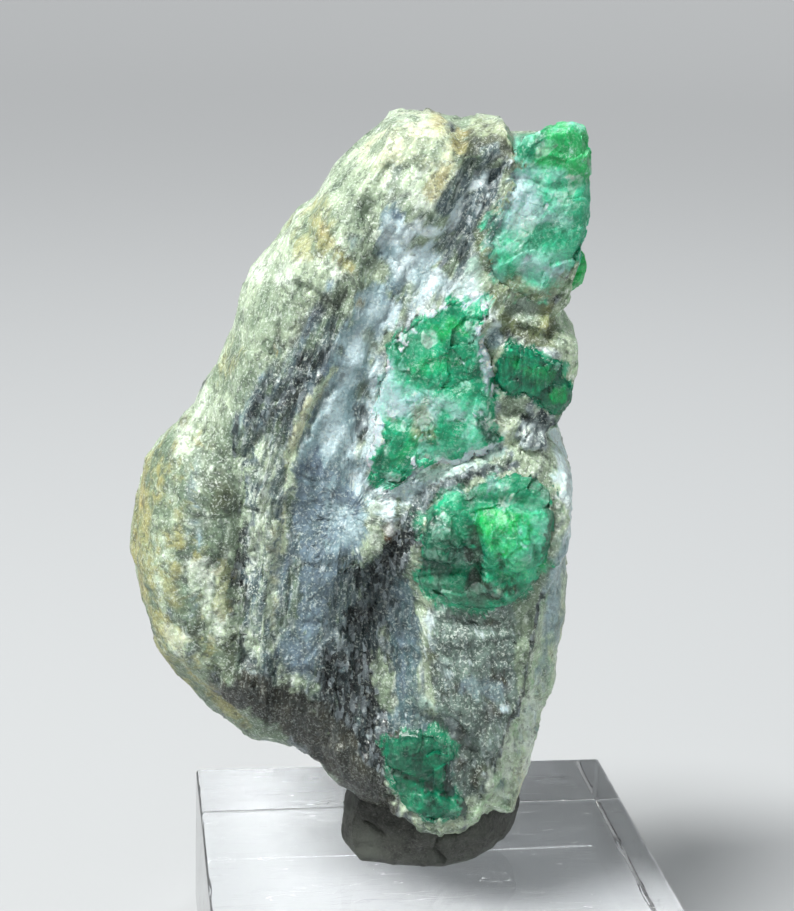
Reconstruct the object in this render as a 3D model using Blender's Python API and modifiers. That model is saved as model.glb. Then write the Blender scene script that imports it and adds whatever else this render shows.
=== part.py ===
"""Emerald in matrix: a hand specimen of mica schist with emerald crystals, set in putty on a clear block.

The origin is the middle of the block's underside, +Z is up and the specimen's face looks towards -Y.
The stone is laid out in its own frame, whose place is the seat on top of the block:
u runs to the right, h runs towards the viewer and w runs up, all in millimetres.
"""

import math
from functools import partial

import bmesh
import bpy
import numpy as np
from mathutils import Matrix

MM = 0.001

BLOCK_WIDTH = 38.1
BLOCK_HEIGHT = 12.7
BLOCK_BEVEL = 0.35
SEAT_TURN = math.radians(-8.17)
GAP = 0.38

# The stone's outline, clockwise from the top left. Each stretch has the width of its worn rim and
# the roundness of that rim's curve: 1 is a straight bevel, 2 a quarter of an ellipse.
MATRIX_STRETCHES = {
    "top": (3.0, 2.0, ((-5.0, 61.9), (-3.6, 62.2), (-1.3, 62.3), (0.5, 61.7), (1.8, 62.1), (3.5, 62.1),
                       (4.5, 60.6))),
    "behind_crystal": (2.5, 2.4, ((6.3, 60.9), (8.6, 60.4), (9.6, 58.0), (9.8, 55.0), (9.6, 52.4),
                                  (9.1, 50.0), (8.6, 47.9))),
    "right": (2.0, 2.2, ((9.8, 46.1), (10.1, 43.9), (9.4, 41.8), (8.9, 40.0), (8.8, 38.3), (10.2, 34.4),
                         (10.4, 32.3), (9.9, 29.6), (10.2, 26.0), (10.2, 23.4), (9.7, 20.5), (9.7, 17.3),
                         (8.4, 11.4), (6.9, 5.8))),
    "foot": (4.6, 1.15, ((5.7, 4.3), (3.3, 2.7), (1.6, 2.1), (-0.6, 3.0), (-2.7, 3.9))),
    "underside": (6.2, 1.5, ((-5.9, 5.5), (-7.8, 6.8), (-9.5, 8.9), (-12.5, 10.4), (-15.4, 10.8),
                             (-19.1, 13.2), (-21.5, 15.6))),
    "left": (6.0, 2.0, ((-23.0, 18.4), (-24.5, 22.9), (-25.4, 26.5), (-24.9, 30.4), (-24.3, 33.6))),
    "upper_left": (4.0, 1.8, ((-22.5, 36.0), (-20.5, 38.4), (-18.8, 41.7), (-17.2, 45.3), (-15.9, 49.5),
                              (-13.9, 52.1), (-12.5, 54.5), (-11.1, 55.5), (-9.7, 57.7), (-7.2, 60.0))),
}
MATRIX_CENTRE = (-7.5, 32.5)
MATRIX_SEGMENTS = 72
MATRIX_RINGS = 32
# Where the front face, the front rim, the back rim and the back face end, from front pole to back pole.
MATRIX_BANDS = (0.44, 0.56, 0.70, 1.0)
BACK_RIM_RATIO = 1.25

FACE_HEIGHT = 8.6
LEFT_FALL_START, LEFT_FALL_SLOPE = -14.0, 0.10
TOP_FALL_START, TOP_FALL_SLOPE = 46.0, 0.045

# The broken back: planes of (depth at the centre, rise per mm to the right, rise per mm up).
BACK_PLANES = ((10.1, -0.10, 0.02), (9.7, 0.28, -0.05), (12.2, -0.05, -0.21), (12.6, -0.33, 0.0),
               (11.6, 0.0, 0.24))

# Steps in the face: (line, how far its left side is raised, half width, reach).
# Left is the left of someone who walks along the line, and a negative rise lowers that side.
STEPS = {
    "pale_rim": (((8.0, 37.0), (8.5, 28.6), (7.8, 23.6), (7.2, 18.5), (5.2, 11.2), (3.6, 7.2), (3.0, 5.0)),
                 -2.0, 0.35, 20.0),
    "vein_ledge": (((-5.7, 29.0), (-4.0, 30.2), (-2.7, 32.1), (-1.1, 34.1), (1.8, 35.9), (4.6, 37.2)),
                   1.3, 0.35, 3.5),
    "band_ledge": (((-13.5, 18.0), (-13.5, 22.0), (-13.2, 28.5), (-12.5, 35.0), (-11.3, 38.9), (-9.7, 41.9),
                    (-7.9, 46.8), (-5.8, 52.0)), 0.9, 0.4, 3.0),
}
# Ridges and grooves: (line, height, half width). A groove has a negative height.
RIDGES = {
    "ochre_ridge": (((-12.3, 33.4), (-10.6, 37.6), (-8.7, 41.7)), 0.6, 0.6),
    "left_groove": (((-15.9, 36.0), (-15.6, 28.1), (-15.7, 20.7)), -0.8, 1.0),
    "crystal_groove": (((4.2, 60.4), (3.2, 57.1), (1.9, 54.1), (2.4, 51.1), (3.6, 46.9)), -0.8, 0.7),
    "nub_crack": (((0.3, 62.5), (0.6, 60.6), (1.2, 58.4)), -0.9, 0.5),
    "seam": (((4.0, 45.6), (4.1, 43.6), (4.3, 41.9)), 0.4, 0.5),
}
# Bumps and hollows: (centre, half lengths along and across, turn in degrees, height).
BUMPS = {
    "mica_hollow": ((-5.3, 20.2), (8.2, 2.9), 96.0, -1.7),
    "mica_lens": ((1.2, 56.3), (4.0, 1.5), 60.0, -0.9),
    "pale_chunk": ((-2.9, 56.2), (3.0, 2.6), 80.0, 0.9),
    "top_nub": ((2.6, 60.6), (1.7, 1.5), 0.0, 0.9),
    "schist_knob": ((6.3, 40.1), (2.5, 2.3), 0.0, 1.1),
    "brown_shelf": ((6.4, 47.6), (2.6, 2.3), 90.0, 0.7),
    "quartz_crown": ((-7.6, 31.5), (7.0, 3.6), 95.0, 0.8),
    "gneiss_face": ((3.2, 18.5), (7.0, 3.4), 92.0, 0.6),
    "left_shoulder": ((-19.5, 27.0), (8.0, 4.0), 80.0, 0.8),
    "left_hollow": ((-17.5, 38.0), (5.0, 2.4), 60.0, -0.8),
}
# Roughness: (size of the lumps, how far they move the surface sideways and in depth, seed).
ROCK_LUMPS = ((11.0, 0.25, 0.80, 3), (4.6, 0.15, 0.45, 17))
CRYSTAL_LUMPS = ((2.6, 0.06, 0.14, 41),)
PUTTY_LUMPS = ((5.0, 0.25, 0.25, 71),)

# Crystals: outline clockwise, centre, root height (how deep the crystal is set), then its lobes.
# A lobe is a flat-topped pyramid: (centre, top height, flat radius, slope, sides, turn in degrees).
CRYSTALS = {
    "emerald_top": {
        "outline": ((4.2, 60.2), (4.9, 61.3), (6.4, 62.2), (8.2, 62.6), (9.3, 62.2), (9.7, 60.4),
                    (9.9, 58.3), (9.8, 55.9), (9.6, 53.8), (9.0, 51.6), (8.1, 50.2), (6.6, 49.6),
                    (4.7, 49.8), (3.4, 50.6), (2.5, 52.4), (2.7, 54.5), (3.2, 56.2), (3.7, 58.1)),
        "centre": (6.3, 56.0),
        "root": 3.4,
        "lobes": (((6.6, 60.2), 8.9, 1.7, 0.55, 5, 20.0), ((6.0, 55.0), 8.8, 2.6, 0.42, 6, 8.0),
                  ((5.6, 51.6), 8.3, 1.4, 0.5, 5, 50.0)),
        "size": (26, 12),
        "colour": (0.05, 0.46, 0.16, 1.0),
    },
    "emerald_edge": {
        "outline": ((8.4, 51.6), (9.5, 52.3), (10.2, 51.7), (10.5, 50.6), (10.3, 49.4), (9.7, 48.8),
                    (8.8, 48.5), (7.6, 49.2), (7.4, 50.8)),
        "centre": (9.0, 50.4),
        "root": -0.7,
        "lobes": (((9.2, 50.4), 1.8, 0.6, 0.7, 5, 0.0),),
        "size": (14, 8),
        "colour": (0.03, 0.38, 0.12, 1.0),
    },
    "emerald_centre": {
        "outline": ((1.1, 49.5), (2.2, 49.9), (2.6, 49.2), (2.6, 48.3), (2.0, 47.0), (2.1, 45.6),
                    (2.6, 44.6), (2.9, 43.4), (2.9, 42.1), (2.8, 41.4), (2.9, 40.2), (3.2, 39.3),
                    (3.9, 38.6), (3.4, 37.9), (2.1, 37.3), (1.2, 36.6), (0.1, 36.4), (-1.1, 36.7),
                    (-2.1, 36.5), (-2.8, 35.8), (-3.6, 35.0), (-5.1, 35.0), (-6.0, 35.8), (-6.2, 37.0),
                    (-5.7, 38.4), (-5.6, 39.8), (-5.4, 41.5), (-4.9, 43.8), (-4.6, 45.6), (-3.7, 46.8),
                    (-1.6, 48.3)),
        "centre": (-1.3, 41.6),
        "root": 4.4,
        "lobes": (((-0.6, 45.2), 9.5, 2.2, 0.4, 6, 15.0), ((1.0, 40.6), 9.7, 1.6, 0.45, 5, 40.0),
                  ((-2.6, 41.4), 9.2, 1.8, 0.35, 6, 0.0), ((-3.8, 37.4), 9.5, 1.4, 0.45, 5, 10.0)),
        "size": (32, 12),
        "colour": (0.06, 0.42, 0.22, 1.0),
    },
    "emerald_right": {
        "outline": ((4.7, 45.4), (5.6, 44.9), (6.9, 44.6), (8.0, 44.4), (8.3, 43.4), (9.2, 42.4),
                    (9.2, 41.5), (8.8, 40.9), (8.0, 40.9), (7.2, 41.3), (6.7, 42.2), (5.8, 42.6),
                    (5.0, 42.5), (4.4, 43.2), (4.3, 44.4)),
        "centre": (6.6, 43.3),
        "root": 4.6,
        "lobes": (((5.9, 43.7), 9.1, 1.5, 0.5, 4, 0.0), ((8.2, 42.2), 8.5, 0.8, 0.6, 4, 35.0)),
        "size": (20, 10),
        "colour": (0.01, 0.24, 0.10, 1.0),
    },
    "emerald_lower": {
        "outline": ((-2.1, 31.1), (-1.6, 32.2), (-1.0, 33.2), (-0.1, 34.0), (1.5, 34.7), (3.7, 35.8),
                    (5.4, 36.2), (7.1, 36.1), (8.0, 35.2), (8.2, 33.9), (8.0, 31.9), (8.0, 30.2),
                    (7.3, 28.6), (6.3, 26.9), (5.4, 25.9), (3.5, 25.2), (1.4, 25.3), (-0.3, 26.0),
                    (-1.7, 26.7), (-2.1, 28.1), (-1.9, 29.4)),
        "centre": (3.0, 30.6),
        "root": 4.6,
        "lobes": (((4.9, 31.6), 12.0, 1.3, 0.62, 6, 12.0), ((-0.2, 30.7), 11.0, 0.9, 0.7, 5, 40.0),
                  ((1.2, 27.4), 10.4, 0.8, 0.6, 5, 0.0), ((4.6, 28.0), 10.6, 1.2, 0.55, 5, 20.0)),
        "size": (30, 12),
        "colour": (0.04, 0.44, 0.20, 1.0),
    },
    "emerald_foot": {
        "outline": ((-3.9, 14.0), (-2.3, 14.4), (-0.1, 14.3), (1.1, 13.4), (1.5, 12.5), (1.2, 11.4),
                    (1.0, 10.0), (2.0, 8.7), (2.5, 7.9), (2.2, 7.2), (1.1, 6.8), (-0.6, 7.0),
                    (-1.9, 7.9), (-2.7, 9.0), (-3.4, 10.6), (-3.9, 12.4)),
        "centre": (-0.9, 10.6),
        "root": 4.6,
        "lobes": (((-1.4, 12.4), 9.1, 1.3, 0.4, 6, 0.0), ((-0.2, 8.3), 8.9, 0.8, 0.5, 5, 20.0)),
        "size": (22, 11),
        "colour": (0.02, 0.26, 0.10, 1.0),
    },
}
# A crystal's section, from the front pole to the back pole: (place, share of the radius, share of the
# height over the root). The second row is the face's edge, which is CRYSTAL_EDGE inside the outline.
CRYSTAL_EDGE = 0.55
CRYSTAL_SECTION = ((0.0, 0.0, 1.0), (0.52, 1.0, 1.0), (0.60, 1.0, 0.88), (0.68, 1.0, 0.74),
                   (0.84, 0.82, 0.0), (1.0, 0.0, 0.0))

PUTTY_FOOTPRINT = ((-6.9, -3.9), (-3.0, -4.6), (1.2, -4.7), (4.4, -2.9), (6.6, -0.4), (7.6, 2.2),
                   (6.6, 5.2), (2.5, 6.8), (-3.0, 6.9), (-6.4, 5.0), (-7.9, 1.5), (-7.8, -1.8))
# The putty's section from its flat underside to its top: (place, share of the radius, height).
PUTTY_UNDERSIDE = 0.32
PUTTY_SECTION = ((0.0, 0.0, 0.0), (0.24, 0.90, 0.0), (0.42, 1.0, 1.9), (0.60, 0.97, 4.2), (0.74, 0.82, 6.1),
                 (1.0, 0.0, 6.6))
PUTTY_SEGMENTS = 28
PUTTY_RINGS = 13


def clear_scene():
    """Remove every object that the scene holds."""
    for thing in list(bpy.data.objects):
        bpy.data.objects.remove(thing, do_unlink=True)


def material(name, colour, roughness, transmission=0.0, ior=1.5):
    """Return a Principled material."""
    made = bpy.data.materials.new(name)
    made.use_nodes = True
    shader = made.node_tree.nodes["Principled BSDF"]
    shader.inputs["Base Color"].default_value = colour
    shader.inputs["Roughness"].default_value = roughness
    shader.inputs["Metallic"].default_value = 0.0
    shader.inputs["Transmission Weight"].default_value = transmission
    shader.inputs["IOR"].default_value = ior
    made.diffuse_color = colour
    return made


def lattice(cells, seed):
    """Return a fixed number from -1 to 1 for each whole-number cell."""
    keys = cells.astype(np.int64) & 0xFFFF
    mixed = keys[:, 0] * 73856093 ^ keys[:, 1] * 19349663 ^ keys[:, 2] * 83492791 ^ seed * 2654435761
    mixed = (mixed ^ (mixed >> 13)) * 1274126177 & 0xFFFFFFFF
    return ((mixed ^ (mixed >> 16)) & 0xFFFF) / 32767.5 - 1.0


def value_noise(points, size, seed):
    """Return smooth noise from -1 to 1: the cell corners' numbers, blended across each cell."""
    scaled = points / size
    cells = np.floor(scaled)
    part = scaled - cells
    blend = part * part * (3.0 - 2.0 * part)
    total = np.zeros(len(points))
    for corner in range(8):
        step = np.array([corner & 1, corner >> 1 & 1, corner >> 2 & 1])
        weight = np.prod(np.where(step, blend, 1.0 - blend), axis=1)
        total += weight * lattice(cells + step, seed)
    return total


def roughened(points, lumps):
    """Return the points, each moved a little in every direction by noise of each size."""
    moved = points.copy()
    for size, sideways, deep, seed in lumps:
        for axis, reach in enumerate((sideways, deep, sideways)):
            moved[:, axis] += reach * value_noise(points, size, seed + axis)
    return moved


def along_outline(outline, fractions):
    """Return the values of an outline's rows at these fractions of the way round it."""
    ring = np.array(list(outline) + [outline[0]], float)
    reach = np.concatenate([[0.0], np.cumsum(np.hypot(*np.diff(ring[:, :2], axis=0).T))])
    places = (fractions % 1.0) * reach[-1]
    return np.stack([np.interp(places, reach, column) for column in ring.T], axis=1)


def to_line(u, w, line):
    """Return each point's distance to a line, which is positive on the line's left."""
    nearest = np.full(u.shape, 1e9)
    side = np.ones(u.shape)
    for (u0, w0), (u1, w1) in zip(line, line[1:]):
        du, dw = u1 - u0, w1 - w0
        share = np.clip(((u - u0) * du + (w - w0) * dw) / (du * du + dw * dw), 0.0, 1.0)
        distance = np.hypot(u - u0 - share * du, w - w0 - share * dw)
        closer = distance < nearest
        nearest = np.where(closer, distance, nearest)
        side = np.where(closer, np.sign(du * (w - w0) - dw * (u - u0)), side)
    return nearest * side


def face_height(u, w):
    """Return the height of the stone's face over its mid plane: a gentle crown with steps and bumps."""
    height = np.full(u.shape, FACE_HEIGHT)
    height -= LEFT_FALL_SLOPE * np.maximum(0.0, LEFT_FALL_START - u)
    height -= TOP_FALL_SLOPE * np.maximum(0.0, w - TOP_FALL_START)
    for line, rise, half_width, reach in STEPS.values():
        distance = to_line(u, w, line)
        level = 0.5 + 0.5 * np.tanh(distance / half_width)
        height += rise * level * np.exp(-np.square(distance / reach))
    for line, rise, half_width in RIDGES.values():
        height += rise * np.exp(-np.square(to_line(u, w, line) / half_width))
    for (u0, w0), (half_long, half_wide), turn, rise in BUMPS.values():
        cosine, sine = math.cos(math.radians(turn)), math.sin(math.radians(turn))
        along = ((u - u0) * cosine + (w - w0) * sine) / half_long
        across = ((w - w0) * cosine - (u - u0) * sine) / half_wide
        height += rise * np.exp(-np.square(along * along + across * across))
    return height


def back_depth(u, w):
    """Return the depth of the broken back: the lowest of its planes."""
    planes = [depth + rise_u * (u - MATRIX_CENTRE[0]) + rise_w * (w - MATRIX_CENTRE[1])
              for depth, rise_u, rise_w in BACK_PLANES]
    return np.min(planes, axis=0)


def matrix_surface(fractions, places):
    """Return the stone's points for fractions round its outline and places from front to back pole."""
    rows = [(u, w, width, roundness)
            for width, roundness, points in MATRIX_STRETCHES.values() for u, w in points]
    edge = along_outline(rows, fractions)
    centre = np.array(MATRIX_CENTRE)
    arm = edge[:, :2] - centre
    radius = np.hypot(*arm.T)
    face_end, rim, back_start, end = MATRIX_BANDS
    front = places <= rim
    width = edge[:, 2] * np.where(front, 1.0, BACK_RIM_RATIO)
    turn = np.interp(places, (face_end, rim, back_start), (0.0, 1.0, 0.0)) * math.pi / 2
    power = 2.0 / edge[:, 3]
    inset = width * (1.0 - np.sin(turn) ** power)
    flat = np.where(front, places / face_end, (end - places) / (end - back_start))
    share = np.where(turn > 0.0, 1.0 - inset / radius, np.minimum(flat, 1.0) * (1.0 - width / radius))
    u, w = (centre + arm * share[:, None]).T
    lift = np.cos(turn) ** power
    height = np.where(front, face_height(u, w) * lift, -back_depth(u, w) * lift)
    return roughened(np.stack([u, -height, w], axis=1), ROCK_LUMPS)


def lobe_height(u, w, lobe):
    """Return the height of a flat-topped pyramid with the lobe's number of sides."""
    (u0, w0), top, flat_radius, slope, sides, turn = lobe
    reach = np.zeros(u.shape)
    for side in range(sides):
        angle = math.radians(turn) + 2.0 * math.pi * side / sides
        reach = np.maximum(reach, (u - u0) * math.cos(angle) + (w - w0) * math.sin(angle))
    return top - slope * np.maximum(0.0, reach - flat_radius)


def crystal_surface(crystal, fractions, places):
    """Return a crystal's points: its lobes in front, a rim, and sides that narrow to its root."""
    centre = np.array(crystal["centre"])
    arm = along_outline(crystal["outline"], fractions) - centre
    radius = np.hypot(*arm.T)
    stops, shares, lifts = zip(*CRYSTAL_SECTION)
    lift = np.interp(places, stops, lifts)
    face_end = stops[1]
    to_edge = (radius - CRYSTAL_EDGE) / radius * np.minimum(places / face_end, 1.0)
    rim = np.clip((places - face_end) / (stops[2] - face_end), 0.0, 1.0)
    share = np.where(places < stops[2], to_edge + (1.0 - to_edge) * rim, np.interp(places, stops, shares))
    u, w = (centre + arm * share[:, None]).T
    top = np.max([lobe_height(u, w, lobe) for lobe in crystal["lobes"]], axis=0)
    height = crystal["root"] + (top - crystal["root"]) * lift
    return roughened(np.stack([u, -height, w], axis=1), CRYSTAL_LUMPS)


def putty_surface(fractions, places):
    """Return the putty's points: its footprint, carried up its section, with a flat underside."""
    arm = along_outline(PUTTY_FOOTPRINT, fractions)
    stops, shares, heights = zip(*PUTTY_SECTION)
    points = np.empty((len(fractions), 3))
    points[:, :2] = arm * np.interp(places, stops, shares)[:, None]
    points[:, 2] = np.interp(places, stops, heights)
    loose = np.clip(points[:, 2:], 0.0, 1.0)
    points += (roughened(points, PUTTY_LUMPS) - points) * loose
    points[:, 2] += PUTTY_UNDERSIDE
    return points


def moved_sphere(name, segments, rings, surface, upright=False):
    """Return an object that starts as a sphere and has every point moved onto a surface.

    The surface takes the fraction of the way round and the place from pole to pole. The poles lie
    along the stone's depth, or upright for a piece that is laid out from its underside.
    """
    shape = bmesh.new()
    bmesh.ops.create_uvsphere(shape, u_segments=segments, v_segments=rings, radius=1.0)
    ball = np.array([point.co for point in shape.verts])
    places = np.arccos(np.clip(ball[:, 2], -1.0, 1.0)) / math.pi
    around = np.arctan2(ball[:, 1], ball[:, 0]) / (2.0 * math.pi)
    if upright:
        points = surface(around, 1.0 - places)
    else:
        points = surface(-around, places)
    for point, place in zip(shape.verts, points * MM):
        point.co = place
    bmesh.ops.triangulate(shape, faces=shape.faces)
    bmesh.ops.recalc_face_normals(shape, faces=shape.faces)
    mesh = bpy.data.meshes.new(name)
    shape.to_mesh(mesh)
    shape.free()
    mesh.shade_smooth()
    mesh.set_sharp_from_angle(angle=math.radians(32.0))
    return bpy.data.objects.new(name, mesh)


def add_cutter(piece, cutters, seat):
    """Return a copy of a piece that is one gap larger all round, to cut the piece's neighbours."""
    cutter = bpy.data.objects.new(piece.name + "_cutter", piece.data)
    cutter.hide_render = True
    cutter.display_type = "WIRE"
    cutter.parent = seat
    swell = cutter.modifiers.new("gap", "DISPLACE")
    swell.strength = GAP * MM
    swell.mid_level = 0.0
    cutters.objects.link(cutter)
    return cutter


def cut(piece, cutter):
    """Take the cutter's shape out of a piece."""
    difference = piece.modifiers.new(cutter.name, "BOOLEAN")
    difference.operation = "DIFFERENCE"
    difference.solver = "EXACT"
    difference.object = cutter


def add_block(collection):
    """Add the clear block, with its sawn edges broken by a small bevel."""
    bpy.ops.mesh.primitive_cube_add(size=1.0, location=(0.0, 0.0, BLOCK_HEIGHT * MM / 2))
    block = bpy.context.active_object
    block.name = "acrylic_base"
    block.data.transform(Matrix.Diagonal((BLOCK_WIDTH * MM, BLOCK_WIDTH * MM, BLOCK_HEIGHT * MM, 1.0)))
    bevel = block.modifiers.new("broken_edges", "BEVEL")
    bevel.width = BLOCK_BEVEL * MM
    bevel.segments = 2
    block.data.materials.append(material("clear_acrylic", (0.93, 0.95, 0.96, 1.0), 0.06, 1.0, 1.49))
    for owner in list(block.users_collection):
        owner.objects.unlink(block)
    collection.objects.link(block)


def main():
    clear_scene()
    scene = bpy.context.scene
    collection = bpy.data.collections.new("emerald_in_matrix")
    cutters = bpy.data.collections.new("cutters")
    scene.collection.children.link(collection)
    scene.collection.children.link(cutters)
    cutters.hide_render = True
    add_block(collection)

    seat = bpy.data.objects.new("seat", None)
    seat.location = (0.0, 0.0, BLOCK_HEIGHT * MM)
    seat.rotation_euler = (0.0, 0.0, SEAT_TURN)
    collection.objects.link(seat)

    matrix = moved_sphere("matrix", MATRIX_SEGMENTS, MATRIX_RINGS, matrix_surface)
    matrix.data.materials.append(material("mica_schist", (0.42, 0.44, 0.36, 1.0), 0.6))
    putty = moved_sphere("putty", PUTTY_SEGMENTS, PUTTY_RINGS, putty_surface, upright=True)
    putty.data.materials.append(material("grey_putty", (0.06, 0.055, 0.05, 1.0), 0.75))
    for piece in (matrix, putty):
        piece.parent = seat
        collection.objects.link(piece)
    cut(putty, add_cutter(matrix, cutters, seat))

    for name, crystal in CRYSTALS.items():
        piece = moved_sphere(name, *crystal["size"], partial(crystal_surface, crystal))
        piece.data.materials.append(material(name, crystal["colour"], 0.2, 0.3, 1.58))
        piece.parent = seat
        collection.objects.link(piece)
        cutter = add_cutter(piece, cutters, seat)
        cut(matrix, cutter)
        if name == "emerald_foot":
            cut(putty, cutter)


main()
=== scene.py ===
"""Emerald in matrix: the surfaces and finishes of a mica schist specimen with emerald crystals.

Every length is in millimetres until a mesh is made. The stone is laid out in its own frame, whose
place is the seat on top of the clear block: u runs to the right, v runs away from the viewer and w
runs up. A point's height is -v, its distance in front of the stone's mid plane.
"""

from __future__ import annotations

import logging
import math
from collections.abc import Callable
from dataclasses import dataclass, field
from enum import Enum

import bpy
import numpy as np
from mathutils import Matrix, Vector

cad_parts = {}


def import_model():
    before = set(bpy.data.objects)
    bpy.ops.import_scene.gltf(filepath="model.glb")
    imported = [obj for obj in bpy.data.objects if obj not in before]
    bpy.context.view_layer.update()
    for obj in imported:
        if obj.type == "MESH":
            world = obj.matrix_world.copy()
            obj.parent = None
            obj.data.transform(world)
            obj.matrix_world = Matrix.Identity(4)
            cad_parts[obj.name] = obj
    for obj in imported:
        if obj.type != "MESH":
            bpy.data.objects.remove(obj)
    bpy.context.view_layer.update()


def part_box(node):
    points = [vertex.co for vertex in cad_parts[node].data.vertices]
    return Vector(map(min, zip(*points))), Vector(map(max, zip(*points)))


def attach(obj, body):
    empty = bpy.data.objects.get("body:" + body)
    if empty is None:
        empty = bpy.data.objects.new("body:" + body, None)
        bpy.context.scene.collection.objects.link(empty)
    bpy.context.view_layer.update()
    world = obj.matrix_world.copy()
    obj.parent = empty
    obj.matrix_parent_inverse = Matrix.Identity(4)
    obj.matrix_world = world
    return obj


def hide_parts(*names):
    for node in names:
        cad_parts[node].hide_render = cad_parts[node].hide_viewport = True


LOG = logging.getLogger("emerald_in_matrix")
Array = np.ndarray
Point = tuple[float, float]
Rows = tuple[tuple[float, ...], ...]
Place = tuple[float, float, float]
Colour = tuple[float, float, float, float]
Node, Socket = bpy.types.Node, bpy.types.NodeSocket
Object, Material = bpy.types.Object, bpy.types.Material
MM = 0.001

BLOCK_WIDTH = 38.1
BLOCK_HEIGHT = 12.7
BLOCK_BEVEL = 0.35
SEAT_TURN = math.radians(-8.17)


def table(text: str) -> Rows:
    """Return a table's rows. Commas part the rows, and spaces part the numbers in a row."""
    return tuple(tuple(float(number) for number in row.split()) for row in text.split(","))


# The stone's outline, clockwise from the top left. Each stretch has the width of its worn rim and
# the roundness of that rim's curve: 1 is a straight bevel, 2 a quarter of an ellipse.
MATRIX_STRETCHES = {
    "top": (3.0, 2.0, table("-5 61.9, -3.6 62.2, -1.3 62.3, 0.5 61.7, 1.8 62.1, 3.5 62.1, 4.5 60.6")),
    "behind_crystal": (2.5, 2.4, table("6.3 60.9, 8.6 60.4, 9.6 58, 9.8 55, 9.6 52.4, 9.1 50, 8.6 47.9")),
    "right": (2.0, 2.2, table("9.8 46.1, 10.1 43.9, 9.4 41.8, 8.9 40, 8.8 38.3, 10.2 34.4, 10.4 32.3, "
                              "9.9 29.6, 10.2 26, 10.2 23.4, 9.7 20.5, 9.7 17.3, 8.4 11.4, 6.9 5.8")),
    "foot": (4.6, 1.15, table("5.7 4.3, 3.3 2.7, 1.6 2.1, -0.6 3, -2.7 3.9")),
    "underside": (6.2, 1.5, table("-5.9 5.5, -7.8 6.8, -9.5 8.9, -12.5 10.4, -15.4 10.8, -19.1 13.2, "
                                  "-21.5 15.6")),
    "left": (6.0, 2.0, table("-23 18.4, -24.5 22.9, -25.4 26.5, -24.9 30.4, -24.3 33.6")),
    "upper_left": (4.0, 1.8, table("-22.5 36, -20.5 38.4, -18.8 41.7, -17.2 45.3, -15.9 49.5, -13.9 52.1, "
                                   "-12.5 54.5, -11.1 55.5, -9.7 57.7, -7.2 60")),
}
STONE_OUTLINE = tuple(point for stretch in MATRIX_STRETCHES.values() for point in stretch[2])
MATRIX_CENTRE = (-7.5, 32.5)
MATRIX_BANDS = (0.44, 0.56, 0.70, 1.0)
BACK_RIM_RATIO = 1.25

FACE_HEIGHT = 8.6
LEFT_FALL_START, LEFT_FALL_SLOPE = -14.0, 0.10
TOP_FALL_START, TOP_FALL_SLOPE = 46.0, 0.045

# The broken back: planes of (depth at the centre, rise per mm to the right, rise per mm up).
BACK_PLANES = ((10.1, -0.10, 0.02), (9.7, 0.28, -0.05), (12.2, -0.05, -0.21), (12.6, -0.33, 0.0),
               (11.6, 0.0, 0.24))

# Steps in the face: (line, how far its left side is raised, half width, reach).
STEPS = {
    "pale_rim": (table("8 37, 8.5 28.6, 7.8 23.6, 7.2 18.5, 5.2 11.2, 3.6 7.2, 3 5"), -2.0, 0.35, 20.0),
    "vein_ledge": (table("-5.7 29, -4 30.2, -2.7 32.1, -1.1 34.1, 1.8 35.9, 4.6 37.2"), 1.3, 0.35, 3.5),
    "band_ledge": (table("-13.5 18, -13.5 22, -13.2 28.5, -12.5 35, -11.3 38.9, -9.7 41.9, -7.9 46.8, "
                         "-5.8 52"), 0.9, 0.4, 3.0),
}
# Ridges and grooves: (line, height, half width). A groove has a negative height.
RIDGES = {
    "ochre_ridge": (table("-12.3 33.4, -10.6 37.6, -8.7 41.7"), 0.6, 0.6),
    "left_groove": (table("-15.9 36, -15.6 28.1, -15.7 20.7"), -0.8, 1.0),
    "crystal_groove": (table("4.2 60.4, 3.2 57.1, 1.9 54.1, 2.4 51.1, 3.6 46.9"), -0.8, 0.7),
    "nub_crack": (table("0.3 62.5, 0.6 60.6, 1.2 58.4"), -0.9, 0.5),
    "seam": (table("4 45.6, 4.1 43.6, 4.3 41.9"), 0.4, 0.5),
}
# Bumps and hollows: (centre, half lengths along and across, turn in degrees, height).
BUMPS = {
    "mica_hollow": ((-5.3, 20.2), (8.2, 2.9), 96.0, -1.7),
    "mica_lens": ((1.2, 56.3), (4.0, 1.5), 60.0, -0.9),
    "pale_chunk": ((-2.9, 56.2), (3.0, 2.6), 80.0, 0.9),
    "top_nub": ((2.6, 60.6), (1.7, 1.5), 0.0, 0.9),
    "schist_knob": ((6.3, 40.1), (2.5, 2.3), 0.0, 0.3),
    "brown_shelf": ((6.4, 47.6), (2.6, 2.3), 90.0, 0.7),
    "quartz_crown": ((-7.6, 31.5), (7.0, 3.6), 95.0, 0.8),
    "gneiss_face": ((3.2, 18.5), (7.0, 3.4), 92.0, 0.6),
    "left_shoulder": ((-19.5, 27.0), (8.0, 4.0), 80.0, 0.8),
    "left_hollow": ((-17.5, 38.0), (5.0, 2.4), 60.0, -0.8),
}
# Roughness: (size of the lumps, how far they move the surface sideways and in depth, seed).
ROCK_LUMPS = ((11.0, 0.25, 0.80, 3), (4.6, 0.15, 0.45, 17))
CRYSTAL_LUMPS = ((2.6, 0.06, 0.14, 41),)
PUTTY_LUMPS = ((5.0, 0.25, 0.25, 71),)

# A crystal's section, from the front pole to the back pole: (place, share of the radius, share of the
# height over the root). The second row is the face's edge, which is CRYSTAL_EDGE inside the outline.
CRYSTAL_EDGE = 0.55
CRYSTAL_SECTION = table("0 0 1, 0.52 1 1, 0.6 1 0.88, 0.68 1 0.74, 0.84 0.82 0, 1 0 0")

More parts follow.
